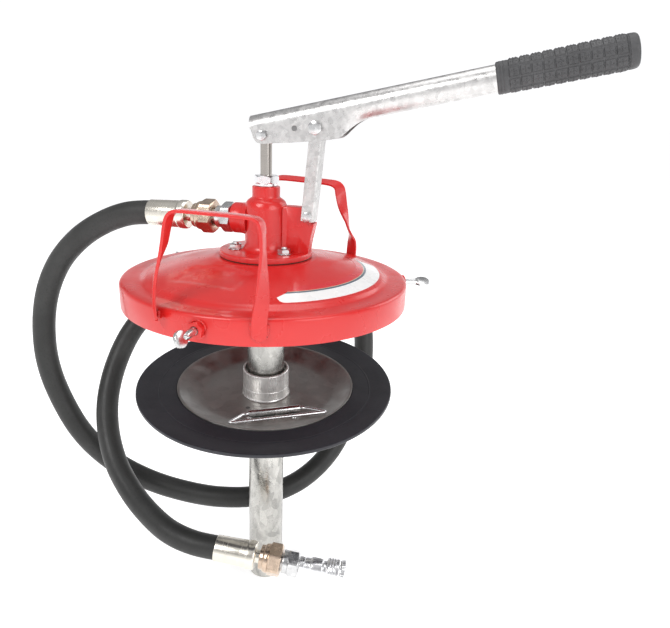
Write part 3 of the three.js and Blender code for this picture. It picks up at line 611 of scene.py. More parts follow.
LID_TOP = [
    (160, -24.6), (160, -2.2), (159.7, -0.6), (158.8, 0.7), (157.4, 1.3), (155.6, 1.5), (148, 1.5),
    (140.4, 1.5), (138.6, 1.8), (137, 2.5), (135.2, 4.1), (133.4, 5.5), (131.6, 6.4), (129.4, 7.0),
    (124, 8.6), (117, 10.5), (110, 12.4), (104, 13.9), (98, 15.4), (92, 16.8), (86, 18.1), (80, 19.4),
    (75, 20.4), (70, 21.4), (65, 22.5), (60.5, 23.5), (58.4, 24.1), (56, 24.4), (45, 24.4),
    (30, 24.4), (22.4, 24.4),
]
LID_UNDER = [
    (22.4, 22.9), (55.6, 22.9), (69.6, 19.8), (89.6, 15.6), (109.6, 10.8), (129.6, 5.2),
    (132.6, 3.9), (136.4, 0.8), (139.4, 0), (156.2, 0), (157.8, -0.6), (158.5, -1.8), (158.5, -24.8),
    (159.0, -25.7), (159.7, -25.6),
]


def dome_height(r):
    """Height of the lid's top surface at radius r."""
    for (r1, z1), (r0, z0) in zip(LID_TOP, LID_TOP[1:]):
        if r0 <= r <= r1 and r1 > r0:
            return z0 + (z1 - z0) * (r - r0) / (r1 - r0)
    return LID_TOP[-1][1]


def step(value, low, high):
    """Rises smoothly from 0 at low to 1 at high."""
    t = min(1.0, max(0.0, (value - low) / (high - low)))
    return t * t * (3 - 2 * t)


def pressed(v):
    """The flat pressed into the front left of the dome, and the sheet's slight waviness."""
    r = math.hypot(v.x, v.y)
    if v.z < 0.5 and r > 140 or r < 57:
        return v
    along = v.x * math.cos(-102 * DEG) + v.y * math.sin(-102 * DEG)
    across = v.y * math.cos(-102 * DEG) - v.x * math.sin(-102 * DEG)
    inside = step(along, 64, 73) * (1 - step(along, 101, 109)) * step(across, -52, -43)
    inside *= 1 - step(across, 22, 33)
    wave = 0.12 * noise.noise(Vector((v.x, v.y, 0)) * 0.03)
    return Vector((v.x, v.y, v.z - 1.3 * inside + wave * step(r, 58, 75) * (1 - step(r, 125, 132))))


def denser(profile, limit):
    """Divides a profile's edges so that none is longer than limit."""
    out = []
    for a, b in zip(profile, profile[1:]):
        count = max(1, math.ceil(math.dist(a, b) / limit))
        out += [tuple(p + (q - p) * k / count for p, q in zip(a, b)) for k in range(count)]
    return out + [profile[-1]]


lid_outline = denser(LID_TOP[10:27], 1.6)
lid_outline = LID_TOP[:10] + lid_outline + LID_TOP[27:] + LID_UNDER
lid = lathe(lid_outline, 240)
under = {(round(r, 2), round(z, 2)) for r, z in LID_UNDER}
below = [(round(math.hypot(v.x, v.y), 2), round(v.z, 2)) in under for v in lid.verts]
# The underside's faces take the darker enamel: painted shade under the lid.
for i, face in enumerate(lid.faces):
    if all(below[k] for k in face):
        lid.slots[i] = 1
lid.warp(pressed).piece(
    "lid", "frame", "red_paint", [paint, shaded_underside_paint], sharp=50, replaces=["lid_cover"])


def label_patch(name, material, inner, outer, starts, stops, lift, corner=0.0):
    """Thin film on the dome. Its ends slant from one angle at inner to another at outer."""
    rings = []
    count, steps = 96, 8
    for k in range(count + 1):
        t = k / count
        ring = []
        for level in (lift, 0.03):
            row = []
            for i in range(steps + 1):
                u = i / steps
                start = starts[0] + (starts[1] - starts[0]) * u
                stop = stops[0] + (stops[1] - stops[0]) * u
                from_end = min(t, 1 - t) * (stops[1] - starts[1]) * DEG * outer
                reach = outer
                if from_end < corner:
                    reach -= corner - math.sqrt(corner ** 2 - (corner - from_end) ** 2)
                r = inner + (reach - inner) * u
                angle = (start + (stop - start) * t) * DEG
                row.append((r * math.cos(angle), r * math.sin(angle), dome_height(r) + level))
            ring += row if level == lift else row[::-1]
        rings.append(ring)
    return loft(rings).piece(name, "frame", "red_paint", material, sharp=60)


label_patch("label_white_band", label_white, 113.4, 129.2, (-60.6, -65.2), (37, 32), 0.2, 9)
label_patch("label_grey_line", label_grey, 111.4, 113.8, (-59.7, -60.8), (37.6, 36.8), 0.24)
label_patch("label_cream_line", label_cream, 110.6, 111.5, (-59.3, -59.7), (38, 37.6), 0.22)
label_patch("label_red_band", label_red, 102.2, 110.8, (-54.9, -59.5), (40.5, 38), 0.2)


# ---- carry handles and their welds --------------------------------------

STRAP_END_R = 7
STRAP = rounded([(7.25, 1.5), (-7.25, 1.5), (-7.25, -1.5), (7.25, -1.5)], 0.7, 3)


# Right foot to left foot: x, y, z, then the turn and rise of the strap's width in degrees.
HANDLE_FRONT = [
    (49.5, -154.1, -19, -72, 0), (49.5, -154.1, -6, -72, 0), (49.8, -154.4, 1, -64, 0),
    (50.7, -154.2, 9, -53, 0), (51.8, -153.4, 19, -38, 0), (52.2, -152.2, 34, -20, 0),
    (52, -151, 50, -3, 0), (51.8, -150.3, 64, 6, 0), (51.6, -150, 76, 6, 0), (51, -150, 83.5, 2, 0),
    (49.2, -150, 88.8, 0, -3), (45, -150, 91.6, 0, -3), (38, -150, 92.5, 0, -3),
    (0, -150, 93.4, 0, -3), (-25, -150, 93.6, 0, -3), (-31.5, -150, 92.8, 0, -2),
    (-36, -150, 89.4, 0, 0), (-38.4, -150, 84, 0, 0), (-40.2, -150, 77.5, 1, 0),
    (-43.8, -150.2, 61.5, 7, 0), (-49, -150.8, 46, 24, 0), (-53.3, -152, 30, 30, 0),
    (-54, -154, 17, 30, 0), (-53.3, -156.4, 7, 30, 0), (-51.6, -158.4, -1.5, 30, 0),
    (-50.8, -158.5, -9.5, 30, 0),
]
HANDLE_REAR = [
    (66.6, 147.5, -19, 65.7, 0), (66.6, 147.5, -3, 65.7, 0), (67, 147.8, 8, 65.7, 0),
    (66.6, 148.3, 17.5, 55, 0), (64.5, 149, 25.5, 27, 0), (61.2, 150, 33.5, 13, 0),
    (58.4, 150.2, 43.5, 2, 0), (54, 150.2, 56.6, -28, 0), (51.6, 150, 64.5, -40, 0),
    (48.6, 149.5, 79, -58, 8), (47.3, 149, 85, -45, 20), (44.5, 148.3, 89, -25, 25),
    (39.5, 147.5, 91.6, -10, 20), (30, 147, 93, 0, 16), (0, 147, 94.3, 0, 15),
    (-33, 147, 95, 0, 15), (-39, 147, 93.6, 0, 12), (-43.6, 147.4, 89.5, 0, 6),
    (-45.6, 148, 83.5, 0, 0), (-46.6, 148.6, 76, 0, 0), (-47.8, 149.6, 62, -8, 0),
    (-49, 150.6, 48, -26, 0), (-50, 151.6, 34, -46, 0), (-51, 152.8, 20, -62, 0),
    (-51.6, 153.4, 9, -70, 0), (-51.4, 153.5, -1, -71.5, 0), (-51.4, 153.5, -19, -71.5, 0),
]


def strap_handle(rows, per_span=6):
    """Strap bent by hand, its width turning as each row says, with half-round feet."""
    line = smooth_path([row[:3] for row in rows], per_span)
    rings = []
    for i, centre in enumerate(line):
        row, part = divmod(i, per_span)
        here, there = rows[row], rows[min(row + 1, len(rows) - 1)]
        turn, rise = ((here[k] + (there[k] - here[k]) * part / per_span) * DEG for k in (3, 4))
        tangent = (line[min(i + 1, len(line) - 1)] - line[max(i - 1, 0)]).normalized()
        wide = polar(turn + 90 * DEG, math.cos(rise)) + Z * math.sin(rise)
        wide = (wide - tangent * wide.dot(tangent)).normalized()
        across = tangent.cross(wide).normalized()
        from_end = min((centre - line[0]).length, (centre - line[-1]).length)
        width = 1.0
        if from_end < STRAP_END_R:
            width = max(0.25, math.sqrt(max(0.0, 1 - (1 - from_end / STRAP_END_R) ** 2)))
        rings.append([centre + wide * (u * width) + across * v for u, v in STRAP])
    return loft(rings)


def weld_bead(points, radius, seed):
    """Lumpy bead of weld along the given points."""
    line = smooth_path(points, 10)
    rings = []
    for i, p in enumerate(line):
        tangent = (line[min(i + 1, len(line) - 1)] - line[max(i - 1, 0)]).normalized()
        side = tangent.cross(Z if abs(tangent.z) < 0.9 else X).normalized()
        up = side.cross(tangent)
        taper = min(1.0, 0.35 + min(i, len(line) - 1 - i) * 0.25)
        size = radius * taper * (1 + 0.3 * noise.noise(p * 0.45 + Vector((seed, 0, 0))))
        size *= 1 + 0.12 * math.sin(i * 1.4)
        rings.append([p + (side * math.cos(TAU * k / 10) + up * math.sin(TAU * k / 10)) * size
                      for k in range(10)])
    return loft(rings)


for side, rows in (("front", HANDLE_FRONT), ("rear", HANDLE_REAR)):
    strap_handle(rows).piece(
        f"handle_{side}", "frame", "red_paint", paint, sharp=55, replaces=[f"carry_handle_{side}"])

for name, deg in (("front_right", -72.2), ("rear_right", 65.7), ("rear_left", 108.5)):
    radial = polar(deg * DEG)
    tangent = Z.cross(radial)
    edge = [radial * (SKIRT_R + 0.4) + tangent * (7.6 * u) + Z * z for u, z in (
        (-1, -3), (-1, -9), (-0.95, -13.5), (-0.6, -17.6), (0, -19.4), (0.6, -17.6),
        (0.95, -13.5), (1, -9), (1, -3))]
    weld_bead(edge, 1.5, deg * DEG).piece(f"weld_{name}", "frame", "red_paint", paint, sharp=70)

for name, deg in (("left_inner", -108.6), ("left_outer", -110.6)):
    radial = polar(deg * DEG)
    bead = [radial * (SKIRT_R + 0.7) + Z * z for z in (-1.5, -4, -7, -9.5)]
    weld_bead(bead, 1.4, deg * DEG).piece(f"weld_front_{name}", "frame", "red_paint", paint, sharp=70)


# ---- thumb screws -------------------------------------------------------

def thumb_wing():
    """Flattened half-round wing with bevelled edges, built along +Z in the XZ plane."""
    outline = rounded([
        (-3.4, 20.5, 1), (-7.2, 25.4, 3), (-8.4, 31, 4), (-6.4, 36.8, 3), (-2.2, 39.5, 3),
        (2.2, 39.5, 3), (6.4, 36.8, 3), (8.4, 31, 4), (7.2, 25.4, 3), (3.4, 20.5, 1),
    ], 2, 4)
    wing = prism([(x, -z) for x, z in outline], -1.7, 1.7, 0.7)
    return wing.warp(lambda v: Vector((v.z, v.x, -v.y)))


for number, (deg, turn) in enumerate(((-93, 15), (27, 50), (147, 0)), 1):
    outward = polar(deg * DEG)
    centre = outward * SKIRT_R + Z * SCREW_Z
    screw = threaded(3.9, -16, 10.5, 1.25, 0.5).warp(lambda v: Vector((v.x, v.y, -v.z - 5.5)))
    screw.join(lathe(rounded([(0, 4, 0), (3.85, 4, 0), (3.9, 21, 0.6), (3.1, 25.5, 1), (0, 26, 0)]), 40))
    screw.join(thumb_wing())
    screw.moved(centre, outward, turn * DEG).piece(
        f"thumbscrew_{number}", f"thumb_screw_{'abc'[number - 1]}", "zinc_plate", plate, sharp=45,
        replaces=[f"thumb_screw_{number}"])
    nut = hexagon(15, 0.1, 6.6, 4.4, 0.55, turn=15 * DEG)
    nut.moved(centre + outward * 0.4, outward).piece(
        f"welded_nut_{number}", "frame", "red_paint", paint, replaces=[f"weld_nut_{number}"])
    tangent = Z.cross(outward)
    ring = []
    for k in range(12):
        a = TAU * k / 12
        ring.append(centre + outward * 0.6 + (tangent * math.cos(a) + Z * math.sin(a)) * 8.6)
    weld_bead(ring, 1.1, deg * 0.1).piece(f"nut_weld_{number}", "frame", "red_paint", paint, sharp=70)


# ---- pump head ----------------------------------------------------------

def along_y(shape, x, y, z):
    """Stands a body built along +Z in the XZ plane, running along +Y."""
    return shape.moved((x, y, z), Y)


def upright(outline, half, bevel=0.8):
    """Plate with its outline in the XZ plane and its thickness along Y."""
    plate_body = prism([(x, -z) for x, z in outline], -half, half, bevel)
    return plate_body.warp(lambda v: Vector((v.x, v.z, -v.y)))


head = lathe(rounded([
    (22.1, 25.7, 0), (52.1, 25.7, 0.5), (52.1, 30.6, 1.2), (51.0, 31.7, 0.8), (30, 31.7, 3),
    (25.6, 33.4, 2.2), (23.6, 39, 3), (23.5, 80, 4), (21.4, 85.4, 3), (17.5, 88.4, 2),
    (15.6, 89.4, 1.4), (15.3, 92, 1), (15.3, 101, 0.8), (14.6, 101.7, 0.6), (10.2, 101.7, 0.2),
    (10.2, 84, 0), (6.95, 84, 0), (6.95, 80, 0), (17, 74, 0), (17, 33.3, 0), (22.1, 33.3, 0),
], 0.5, 5), 128)
boss = lathe(rounded([
    (10.5, 17.6, 0), (20.4, 17.6, 0), (18.9, 21.5, 2), (17.4, 24.5, 1.5), (17, 28, 1),
    (17, 36.4, 1.2), (15.6, 38, 1.0), (10.5, 38, 0.3),
], 0.5, 4), 96)
head.join(boss.moved((0, 0, 64.5), -X))
lug_outline = rounded([
    (17.6, 30.7, 0), (50.8, 30.7, 0.5), (52.6, 44, 6), (57.2, 64.0, 0.8), (56.6, 65.0, 0.5),
    (53.9, 65.2, 0.8), (53.0, 76, 2), (51.4, 80.2, 2.4), (47.6, 81.6, 2), (24.2, 81.9, 1.5),
    (17.6, 80.4, 0),
], 0.5, 4)
head.join(upright(lug_outline, 7.3, 1.1))
for tilt in (-1, 1):
    fillet = [(22.4, 7.0), (25.2, 7.3), (26.6, 7.2), (24.4, 8.4), (22.2, 10.0)]
    strip = prism([(x, y * tilt) for x, y in fillet], 31.5, 79.5, 0.3)
    head.join(strip)


def as_cast(v):
    """The casting is nowhere quite true."""
    if v.z < 31.8 or v.z > 101 or v.x > 48:
        return v
    shift = 0.22 * noise.noise(v * 0.09) + 0.08 * noise.noise(v * 0.4)
    out = Vector((v.x, v.y, 0))
    r = out.length
    if r < 14.5:
        return v
    return v + out * (shift / r)


head.warp(as_cast).piece(
    "pump_head", "frame", "red_paint", cast_paint, sharp=42, replaces=["pump_head_casting"])

lathe([(22.5, 24.7), (51.4, 24.7), (51.5, 25.05), (51.4, 25.4), (22.5, 25.4)], 128).piece(
    "gasket_ring", "frame", "gasket_fibre", gasket, replaces=["flange_gasket"])

for number, deg in enumerate((85, 205, 325), 1):
    at = polar(deg * DEG, FLANGE_BOLT_CIRCLE)
    stud = threaded(3.9, 20, 39.9, 1.25, 0.45)
    stud.join(hexagon(13, 17.6, 22.6, 0, 0.55, turn=0.3 * number))
    stud.moved(at).piece(
        f"flange_bolt_{number}", "frame", "zinc_plate", plate, replaces=[f"head_bolt_{number}"])
    nut = hexagon(13, 32.7, 37.7, 4.2, 0.6, turn=0.55 + 0.7 * number)
    washer = lathe(rounded([(4.4, 32, 0), (7.9, 32, 0.3), (7.9, 32.75, 0.3), (4.4, 32.75, 0)]), 48)
    nut.join(washer).moved(at).piece(
        f"flange_nut_{number}", "frame", "zinc_plate", plate, replaces=[f"head_nut_{number}"])

gland = hexagon(25, 104.3, 113.5, 6.75, 0.8, turn=8 * DEG)
gland.join(lathe(rounded([
    (6.75, 93, 0), (9.9, 93, 0), (9.9, 102, 0.2), (12.2, 102, 0.3), (12.2, 104.4, 0.4), (6.75, 104.4, 0),
]), 72))
gland.piece("gland", "frame", "bright_steel", chrome, replaces=["gland_nut"])


# ---- pump tube, rod and valves ------------------------------------------

tube = lathe(rounded([
    (18.7, -402.8, 0.5), (21.7, -402.8, 0.6), (21.7, 33, 0.4), (18.7, 33, 0.3),
], 0.5, 2), 96)
tube.piece("suction_tube", "frame", "galvanised", tube_zinc, replaces=["pump_tube"])

rod_shape = lathe(rounded([
    (0, 11, 0), (6.35, 11, 0), (6.35, 147.5, 0.2), (6.1, 149, 0.4), (0, 149, 0),
]), 64)
rod_shape.join(lathe([(0, -340), (4.9, -340), (4.9, -310.7), (6.35, -310.7), (6.35, -303), (9, -303),
                      (9, -300), (6.35, -300), (6.35, 11.2), (0, 11.2)], 64))
cheek = rounded([(-6.3, 146), (6.3, 146), (9.6, 150), (10.6, 155.4), (9.4, 161),
                 (6, 163.4), (-3.4, 163.4), (-6.3, 160)], 1.6, 4)
slot_hole = rounded([(-3.4, 152.1), (7.1, 152.1), (7.1, 159.4), (-3.4, 159.4)], 1.5, 4)


def slotted_plate(outline, hole, half):
    """Flat eye with a slot through it, as one ring of quads on each side."""
    middle = Vector((sum(p[0] for p in hole), sum(p[1] for p in hole))) / len(hole)
    count = 96

    def cast(points, angle):
        ray = Vector((math.cos(angle), math.sin(angle)))
        best = None
        for a, b in zip(points, points[1:] + points[:1]):
            a, b = Vector(a) - middle, Vector(b) - middle
            edge = b - a
            cross = ray.x * edge.y - ray.y * edge.x
            if abs(cross) < 1e-9:
                continue
            t = (a.x * edge.y - a.y * edge.x) / cross
            u = (a.x * ray.y - a.y * ray.x) / cross
            if t > 0 and -1e-6 <= u <= 1 + 1e-6:
                best = t if best is None else max(best, t)
        return middle + ray * best

    rings = []
    for k in range(count):
        angle = TAU * k / count
        outer, inner = cast(outline, angle), cast(hole, angle)
        edge = (outer - inner).normalized() * 0.5
        rings.append([(inner.x, -half, inner.y), (outer.x - edge.x, -half, outer.y - edge.y),
                      (outer.x, -half + 0.5, outer.y), (outer.x, half - 0.5, outer.y),
                      (outer.x - edge.x, half, outer.y - edge.y), (inner.x, half, inner.y)])
    return loft(rings, closed=True)


rod_shape.join(slotted_plate(cheek, slot_hole, 4.4))
rod_shape.piece("rod", "rod", "bright_steel", ground, replaces=["piston_rod"])

for node, material in (
    ("foot_valve_body", plate), ("foot_valve_ball", chrome), ("piston", plate),
    ("piston_seal", seal_rubber), ("piston_valve_disc", chrome), ("piston_nut", plate),
    ("gland_packing", yarn), ("follower_backing_ring", sheet_zinc_darkened_for_shade),
):
    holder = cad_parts[node]
    holder.data.materials.clear()
    holder.data.materials.append(material)
pin_ends = lathe(rounded([(0, -22.6, 0), (1.9, -22.6, 0.4), (1.9, 22.6, 0.4), (0, 22.6, 0)]), 24)
along_y(pin_ends, 0, 0, -370).piece(
    "stop_pin", "frame", "bright_steel", plate, replaces=["ball_stop_pin"])


# ---- lever --------------------------------------------------------------

LEVER_ANGLE = 12.65 * DEG
LEVER_DIR = Vector((math.cos(LEVER_ANGLE), 0, math.sin(LEVER_ANGLE)))
LEVER_UP = Vector((-math.sin(LEVER_ANGLE), 0, math.cos(LEVER_ANGLE)))
LEVER_FOOT = Vector((0, 0, 164.7))
LEVER_R = 13.1
LEVER_WALL = 2.2
# Distance along the lever, and how deep its cheeks hang below the tube's axis there.
CHEEKS = [
    (-13.5, 0.5), (-13.35, 2), (-12.9, 5.5), (-12.4, 10.2), (-11.2, 13.4), (-9.2, 15.6), (-6.4, 17.1),
    (-3, 17.9), (10, 19.6), (25.8, 22), (55.8, 25.5), (70, 26.8), (77, 26.9), (82, 25.9), (88, 23.6),
    (98, 19.4), (108, 16), (118, 13.8), (126, 13.1), (140, 13.1),
]
CLOSE_FROM, CLOSE_TO = 76, 122


def cheek_depth(s):
    for (s0, d0), (s1, d1) in zip(CHEEKS, CHEEKS[1:]):
        if s0 <= s <= s1:
            return d0 + (d1 - d0) * (s - s0) / (s1 - s0)
    return CHEEKS[-1][1]


def lever_section(s):
    """Half arch and hanging cheeks at the front, turning into a closed tube behind."""
    shut = step(s, CLOSE_FROM, CLOSE_TO)
    depth = cheek_depth(s)

    def half(radius):
        points = []
        for k in range(17):
            a = math.pi / 2 * k / 16
            points.append((radius * math.sin(a), radius * math.cos(a)))
        for k in range(1, 17):
            t = k / 16
            a = math.pi / 2 * (1 + t)
            straight = Vector((radius, -depth * t))
            curled = Vector((radius * math.sin(a), radius * math.cos(a)))
            points.append(tuple(straight.lerp(curled, shut)))
        return points

    outer, inner = half(LEVER_R), half(LEVER_R - LEVER_WALL)
    if shut < 1:
        tip = Vector(outer[-1])
        inner[-1] = (max(tip.x - LEVER_WALL, 0.02), tip.y)
    ring = [(-x, z) for x, z in reversed(outer)] + outer[1:] + list(reversed(inner))
    ring += [(-x, z) for x, z in inner[1:]]
    return ring


stations = [-14.2, -13.9, -13.6]
stations += [s for s, _ in CHEEKS[1:]]
stations += [0, 5, 15, 20, 32, 40, 48, 62, 66, 74, 79.5, 85, 91, 94, 101, 104.5, 111.5, 115, 121, 124]
stations += [160, 200, 236, 300, 357.2, 358]
stations = sorted(set(stations))
rings = []
for s in stations:
    base = LEVER_FOOT + LEVER_DIR * s
    rings.append([base + Y * x + LEVER_UP * z for x, z in lever_section(max(s, -13.5))])
lever_bar = loft(rings)
lever_bar = lever_bar.piece("lever_bar", "lever", "galvanised", galvanised, sharp=40, weld=0.01)


def stamped_hole(x, z, r, name):
    """A hole through both cheeks, shown as a dark disc of painted shade in a rolled rim, set a hair proud.
    """
    for hand, side in ((-1, "near"), (1, "far")):
        at = (x, hand * LEVER_R, z)
        rim = lathe(rounded([(r, 0, 0), (r + 0.7, 0, 0), (r + 0.6, 0.28, 0.2), (r, 0.12, 0)]), 48)
        rim.moved(at, Y * hand).piece(f"{name}_rim_{side}", "lever", "galvanised", galvanised)
        hole_shade_disc = lathe([(0, -0.02), (r + 0.05, -0.02), (r + 0.05, 0.1), (0, 0.1)], 48)
        hole_shade_disc.moved(at, Y * hand).piece(f"{name}_pit_{side}", "lever", "galvanised", hole_painted_shade)


stamped_hole(35.5, 163.6, 3.0, "spare_hole")
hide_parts("lever")


# ---- grip ---------------------------------------------------------------

# How far the grip's rounded end has drawn in at each distance along it.
END_DROPS = {121: 0.25, 122.6: 0.8, 123.7: 1.7, 124.3: 2.8, 124.6: 4.4, 124.7: 7}


def grip_shape():
    """Moulded sleeve: plain collar with two ridges, rows of raised pads, rounded end."""
    around = 9
    steps = 12
    nub = 1.15
    pad_along, pad_pitch, pad_first, pads = 9.4, 10.3, 12.2, 10
    levels = [0, 0.6, 1.0, 3.2, 3.5, 4.1, 4.4, 6.4, 6.7, 7.3, 7.6, 10.6]
    for k in range(pads):
        a = pad_first + pad_pitch * k - 0.6
        levels += [a, a + 0.55, a + 2, a + pad_along / 2]
        levels += [a + pad_along - 2, a + pad_along - 0.55, a + pad_along]
    levels += [114.4, 114.8, 115.4, 115.8, 118, 121, 122.6, 123.7, 124.3, 124.6, 124.7]
    rings = []
    for z in levels:
        base = 15.0 + 0.75 * z / 124.7
        ridge = 0.35 if z in (3.5, 4.1, 6.7, 7.3) else 0.0
        groove = -0.5 if z in (114.8, 115.4) else 0.0
        edge = {0: -1.0, 0.6: -0.25}.get(z, 0.0)
        edge = -END_DROPS[z] if z in END_DROPS else edge
        row = (z - pad_first + 0.6) / pad_pitch
        inside = 0.0
        if 0 <= row < pads:
            local = (row - math.floor(row + 1e-6)) * pad_pitch
            if 0.5 < local < pad_along - 0.5:
                inside = 1.0
        plain = 0 <= z < 10.9 or z > 114.1
        ring = []
        for k in range(around * steps):
            spot = k % steps
            raised = 1.0 if 1 < spot < steps - 1 else 0.0
            r = base + ridge + groove + edge
            if not plain:
                r += -0.5 + 0.95 * raised * inside
            a = TAU * k / (around * steps)
            ring.append((r * math.cos(a), r * math.sin(a), z))
        rings.append(ring)
    outer = loft(rings)
    outer.faces = outer.faces[:-2]
    outer.slots = outer.slots[:-2]
    n = around * steps
    last = len(outer.verts) - n
    tip = len(outer.verts)
    outer.verts.append(Vector((0, 0, 124.75)))
    outer.faces += [(last + k, last + (k + 1) % n, tip) for k in range(n)]
    outer.slots += [0] * n
    start = len(outer.verts)
    outer.verts += [Vector((13.4 * math.cos(TAU * k / n), 13.4 * math.sin(TAU * k / n), z))
                    for z in (0, 119) for k in range(n)]
    outer.faces += [(k, (k + 1) % n, start + (k + 1) % n, start + k) for k in range(n)]
    outer.faces += [(start + k, start + (k + 1) % n, start + n + (k + 1) % n, start + n + k)
                    for k in range(n)]
    outer.slots += [0] * (2 * n)
    outer.faces.append(tuple(range(start + n, start + 2 * n)))
    outer.slots.append(0)
    for row in range(pads):
        z = pad_first + pad_pitch * row + pad_along / 2 - 0.6
        base = 15.0 + 0.75 * z / 124.7 + 0.55
        for col in range(around):
            a = TAU * (col + 0.5) / around
            for dz, da in ((0, 0), (2.6, 0.0), (-2.6, 0.0), (0, 0.14), (0, -0.14)):
                normal = polar(a + da)
                side = Vector((-normal.y, normal.x, 0))
                centre = normal * base + Z * (z + dz)
                points = [side * u + Z * w for u, w in ((nub, 0), (0, nub), (-nub, 0), (0, -nub))]
                foot = [centre + p - normal * 0.3 for p in points]
                top = [centre + normal * 0.42 + p * 0.4 for p in points]
                outer.join(loft([foot, top]))
    return outer


grip_shape().moved(LEVER_FOOT + LEVER_DIR * 238.7, LEVER_DIR).piece(
    "hand_grip", "lever", "grip_rubber", grip_rubber, sharp=30, replaces=["grip"], weld=0.0001)


# ---- link and its pivots ------------------------------------------------

def channel_section(half, depth, wall, bend):
    """Channel, open towards -X, with round outer bends."""
    a, b = depth / 2, half
    return rounded([
        (-a, -b, 0.3), (a, -b, bend), (a, b, bend), (-a, b, 0.3),
        (-a, b - wall, 0.3), (a - wall, b - wall, bend - wall + 1.2),
        (a - wall, -b + wall, bend - wall + 1.2), (-a, -b + wall, 0.3),
    ], 0.3, 5)


link_foot = Vector((50.3, 0, 72.6))
link_head = Vector((58.3, 0, 165.2))
link_length = (link_head - link_foot).length
section = channel_section(10, 14, 2.2, 3.0)
levels = [-5.2, -4.9, 0, 20, 40, 60, 80, link_length, link_length + 6.7, link_length + 7]
rings = [[(x * (0.985 if i in (0, len(levels) - 1) else 1), y, z) for x, y in section]
         for i, z in enumerate(levels)]
strut = loft(rings)
tilt = Quaternion(Y, math.atan2(link_head.x - link_foot.x, link_head.z - link_foot.z))
strut.warp(lambda v: tilt @ Vector(v) + link_foot)
strut.piece("strut", "link", "galvanised", galvanised, replaces=["link"])


def pivot(name, at, outer, across_flats, head_height, shank, nut_height, body, nodes, turn):
    """Hexagon bolt along +Y, its head towards -Y, with its nut."""
    bolt = hexagon(across_flats, -outer - 0.3 - head_height, -outer - 0.3, 0, 0.65, turn=turn)
    bolt.join(lathe(rounded([
        (0, -outer - 0.6, 0), (shank, -outer - 0.6, 0), (shank, outer + 0.3 + nut_height + 1.2, 0.5),
        (shank - 0.6, outer + 0.3 + nut_height + 1.6, 0.3), (0, outer + 0.3 + nut_height + 1.6, 0),
    ]), 40))
    bolt.join(lathe([
        (0, -outer - 0.32), (across_flats * 0.47, -outer - 0.32), (across_flats * 0.47, -outer - 0.02),
        (0, -outer - 0.02)], 48))
    along_y(bolt, at[0], 0, at[1]).piece(
        f"{name}_bolt", body, "zinc_plate", plate, replaces=[nodes[0]])
    nut = hexagon(across_flats, outer + 0.3, outer + 0.3 + nut_height, shank + 0.2, 0.6, turn=turn + 0.4)
    along_y(nut, at[0], 0, at[1]).piece(
        f"{name}_nut", body, "zinc_plate", plate, replaces=[nodes[1]])


pivot("rod_pivot", (0, 155.4), 13.1, 10, 4, 2.9, 5, "lever", ("pivot_bolt_rod", "pivot_nut_rod"), 0.2)
pivot("lever_pivot", (58.3, 165.2), 13.1, 13, 5.3, 3.9, 6.5, "lever",
      ("pivot_bolt_lever", "pivot_nut_lever"), 0.35)
pivot("link_pivot", (50.3, 72.6), 10, 10, 4, 2.9, 5, "frame", ("pivot_bolt_link", "pivot_nut_link"), 0.1)


# ---- follower -----------------------------------------------------------

FOLLOWER_AXIS = polar(20 * DEG)
HANG = Matrix.Translation((0, 0, -131.9)) @ Matrix.Rotation(4.9 * DEG, 4, FOLLOWER_AXIS)
DISH = -13


def hung(shape):
    """Puts a piece built about the follower's own axis at its height and tilt."""
    return shape.warp(lambda v: HANG @ Vector(v))


def follower_piece(shape, name, slot, material, nodes, body="follower", sharp=38):
    return hung(shape).piece(name, body, slot, material, sharp=sharp, replaces=nodes)


dish = lathe(rounded([
    (24.5, -15, 0), (70, -15, 8), (79.5, -13.8, 5), (90.5, -9, 4), (102.4, -2.8, 0.6),
    (104.6, -2, 0.3), (104.6, -0.1, 0.4), (102.2, -0.5, 0.8), (90, -7, 5), (79, -11.8, 5),
    (68, -13, 8), (40, -13, 0), (24.5, -13, 0),
], 0.5, 6), 160)
follower_piece(dish, "follower_dish", "plate_zinc", sheet_zinc_darkened_for_shade, ["follower_plate"])


def lip_wave(v):
    r = math.hypot(v.x, v.y)
    angle = math.atan2(v.y, v.x)
    amount = 0.5 * step(r, 128, 151) * (math.sin(2 * angle + 0.6) + 0.5 * math.sin(5 * angle + 2))
    return Vector((v.x, v.y, v.z + amount))


lip = lathe(rounded([
    (36, -19.4, 0.4), (79.4, -19.4, 2), (104.6, -7, 2), (125, -6.0, 1.5), (137, -4.9, 1), (150.0, -3.2, 0.8),
    (151.2, -2.0, 0.8), (150.9, 1.0, 0.6), (149.6, 1.3, 0.6), (137, -0.6, 1), (126.2, -2.0, 0.7),
    (125.2, -1.65, 0.5), (124.2, -2.0, 0.7), (112, -1.6, 1), (105.3, -1.2, 0.3), (105.1, -2.6, 0),
    (103.6, -3.3, 0), (78.4, -15.4, 0), (36, -15.4, 0),
], 0.5, 4), 200)
follower_piece(lip.warp(lip_wave), "follower_seal", "lip_rubber", lip_rubber, ["follower_lip"])

collar = lathe(rounded([
    (24.5, -12.7, 0), (28.6, -12.7, 0.3), (27.7, -11.2, 0.6), (27.4, -9, 0.3), (27.4, -1.7, 0.3),
    (27.1, -1.3, 0.2), (27.1, -0.9, 0.2), (27.4, -0.5, 0.3), (27.2, 19.2, 0.6), (26.2, 20.2, 0.5),
    (24.9, 20.2, 0.4), (24.5, 19.6, 0.2),
]), 128)
follower_piece(collar, "sliding_collar", "bright_steel", collar_steel, ["follower_collar"])

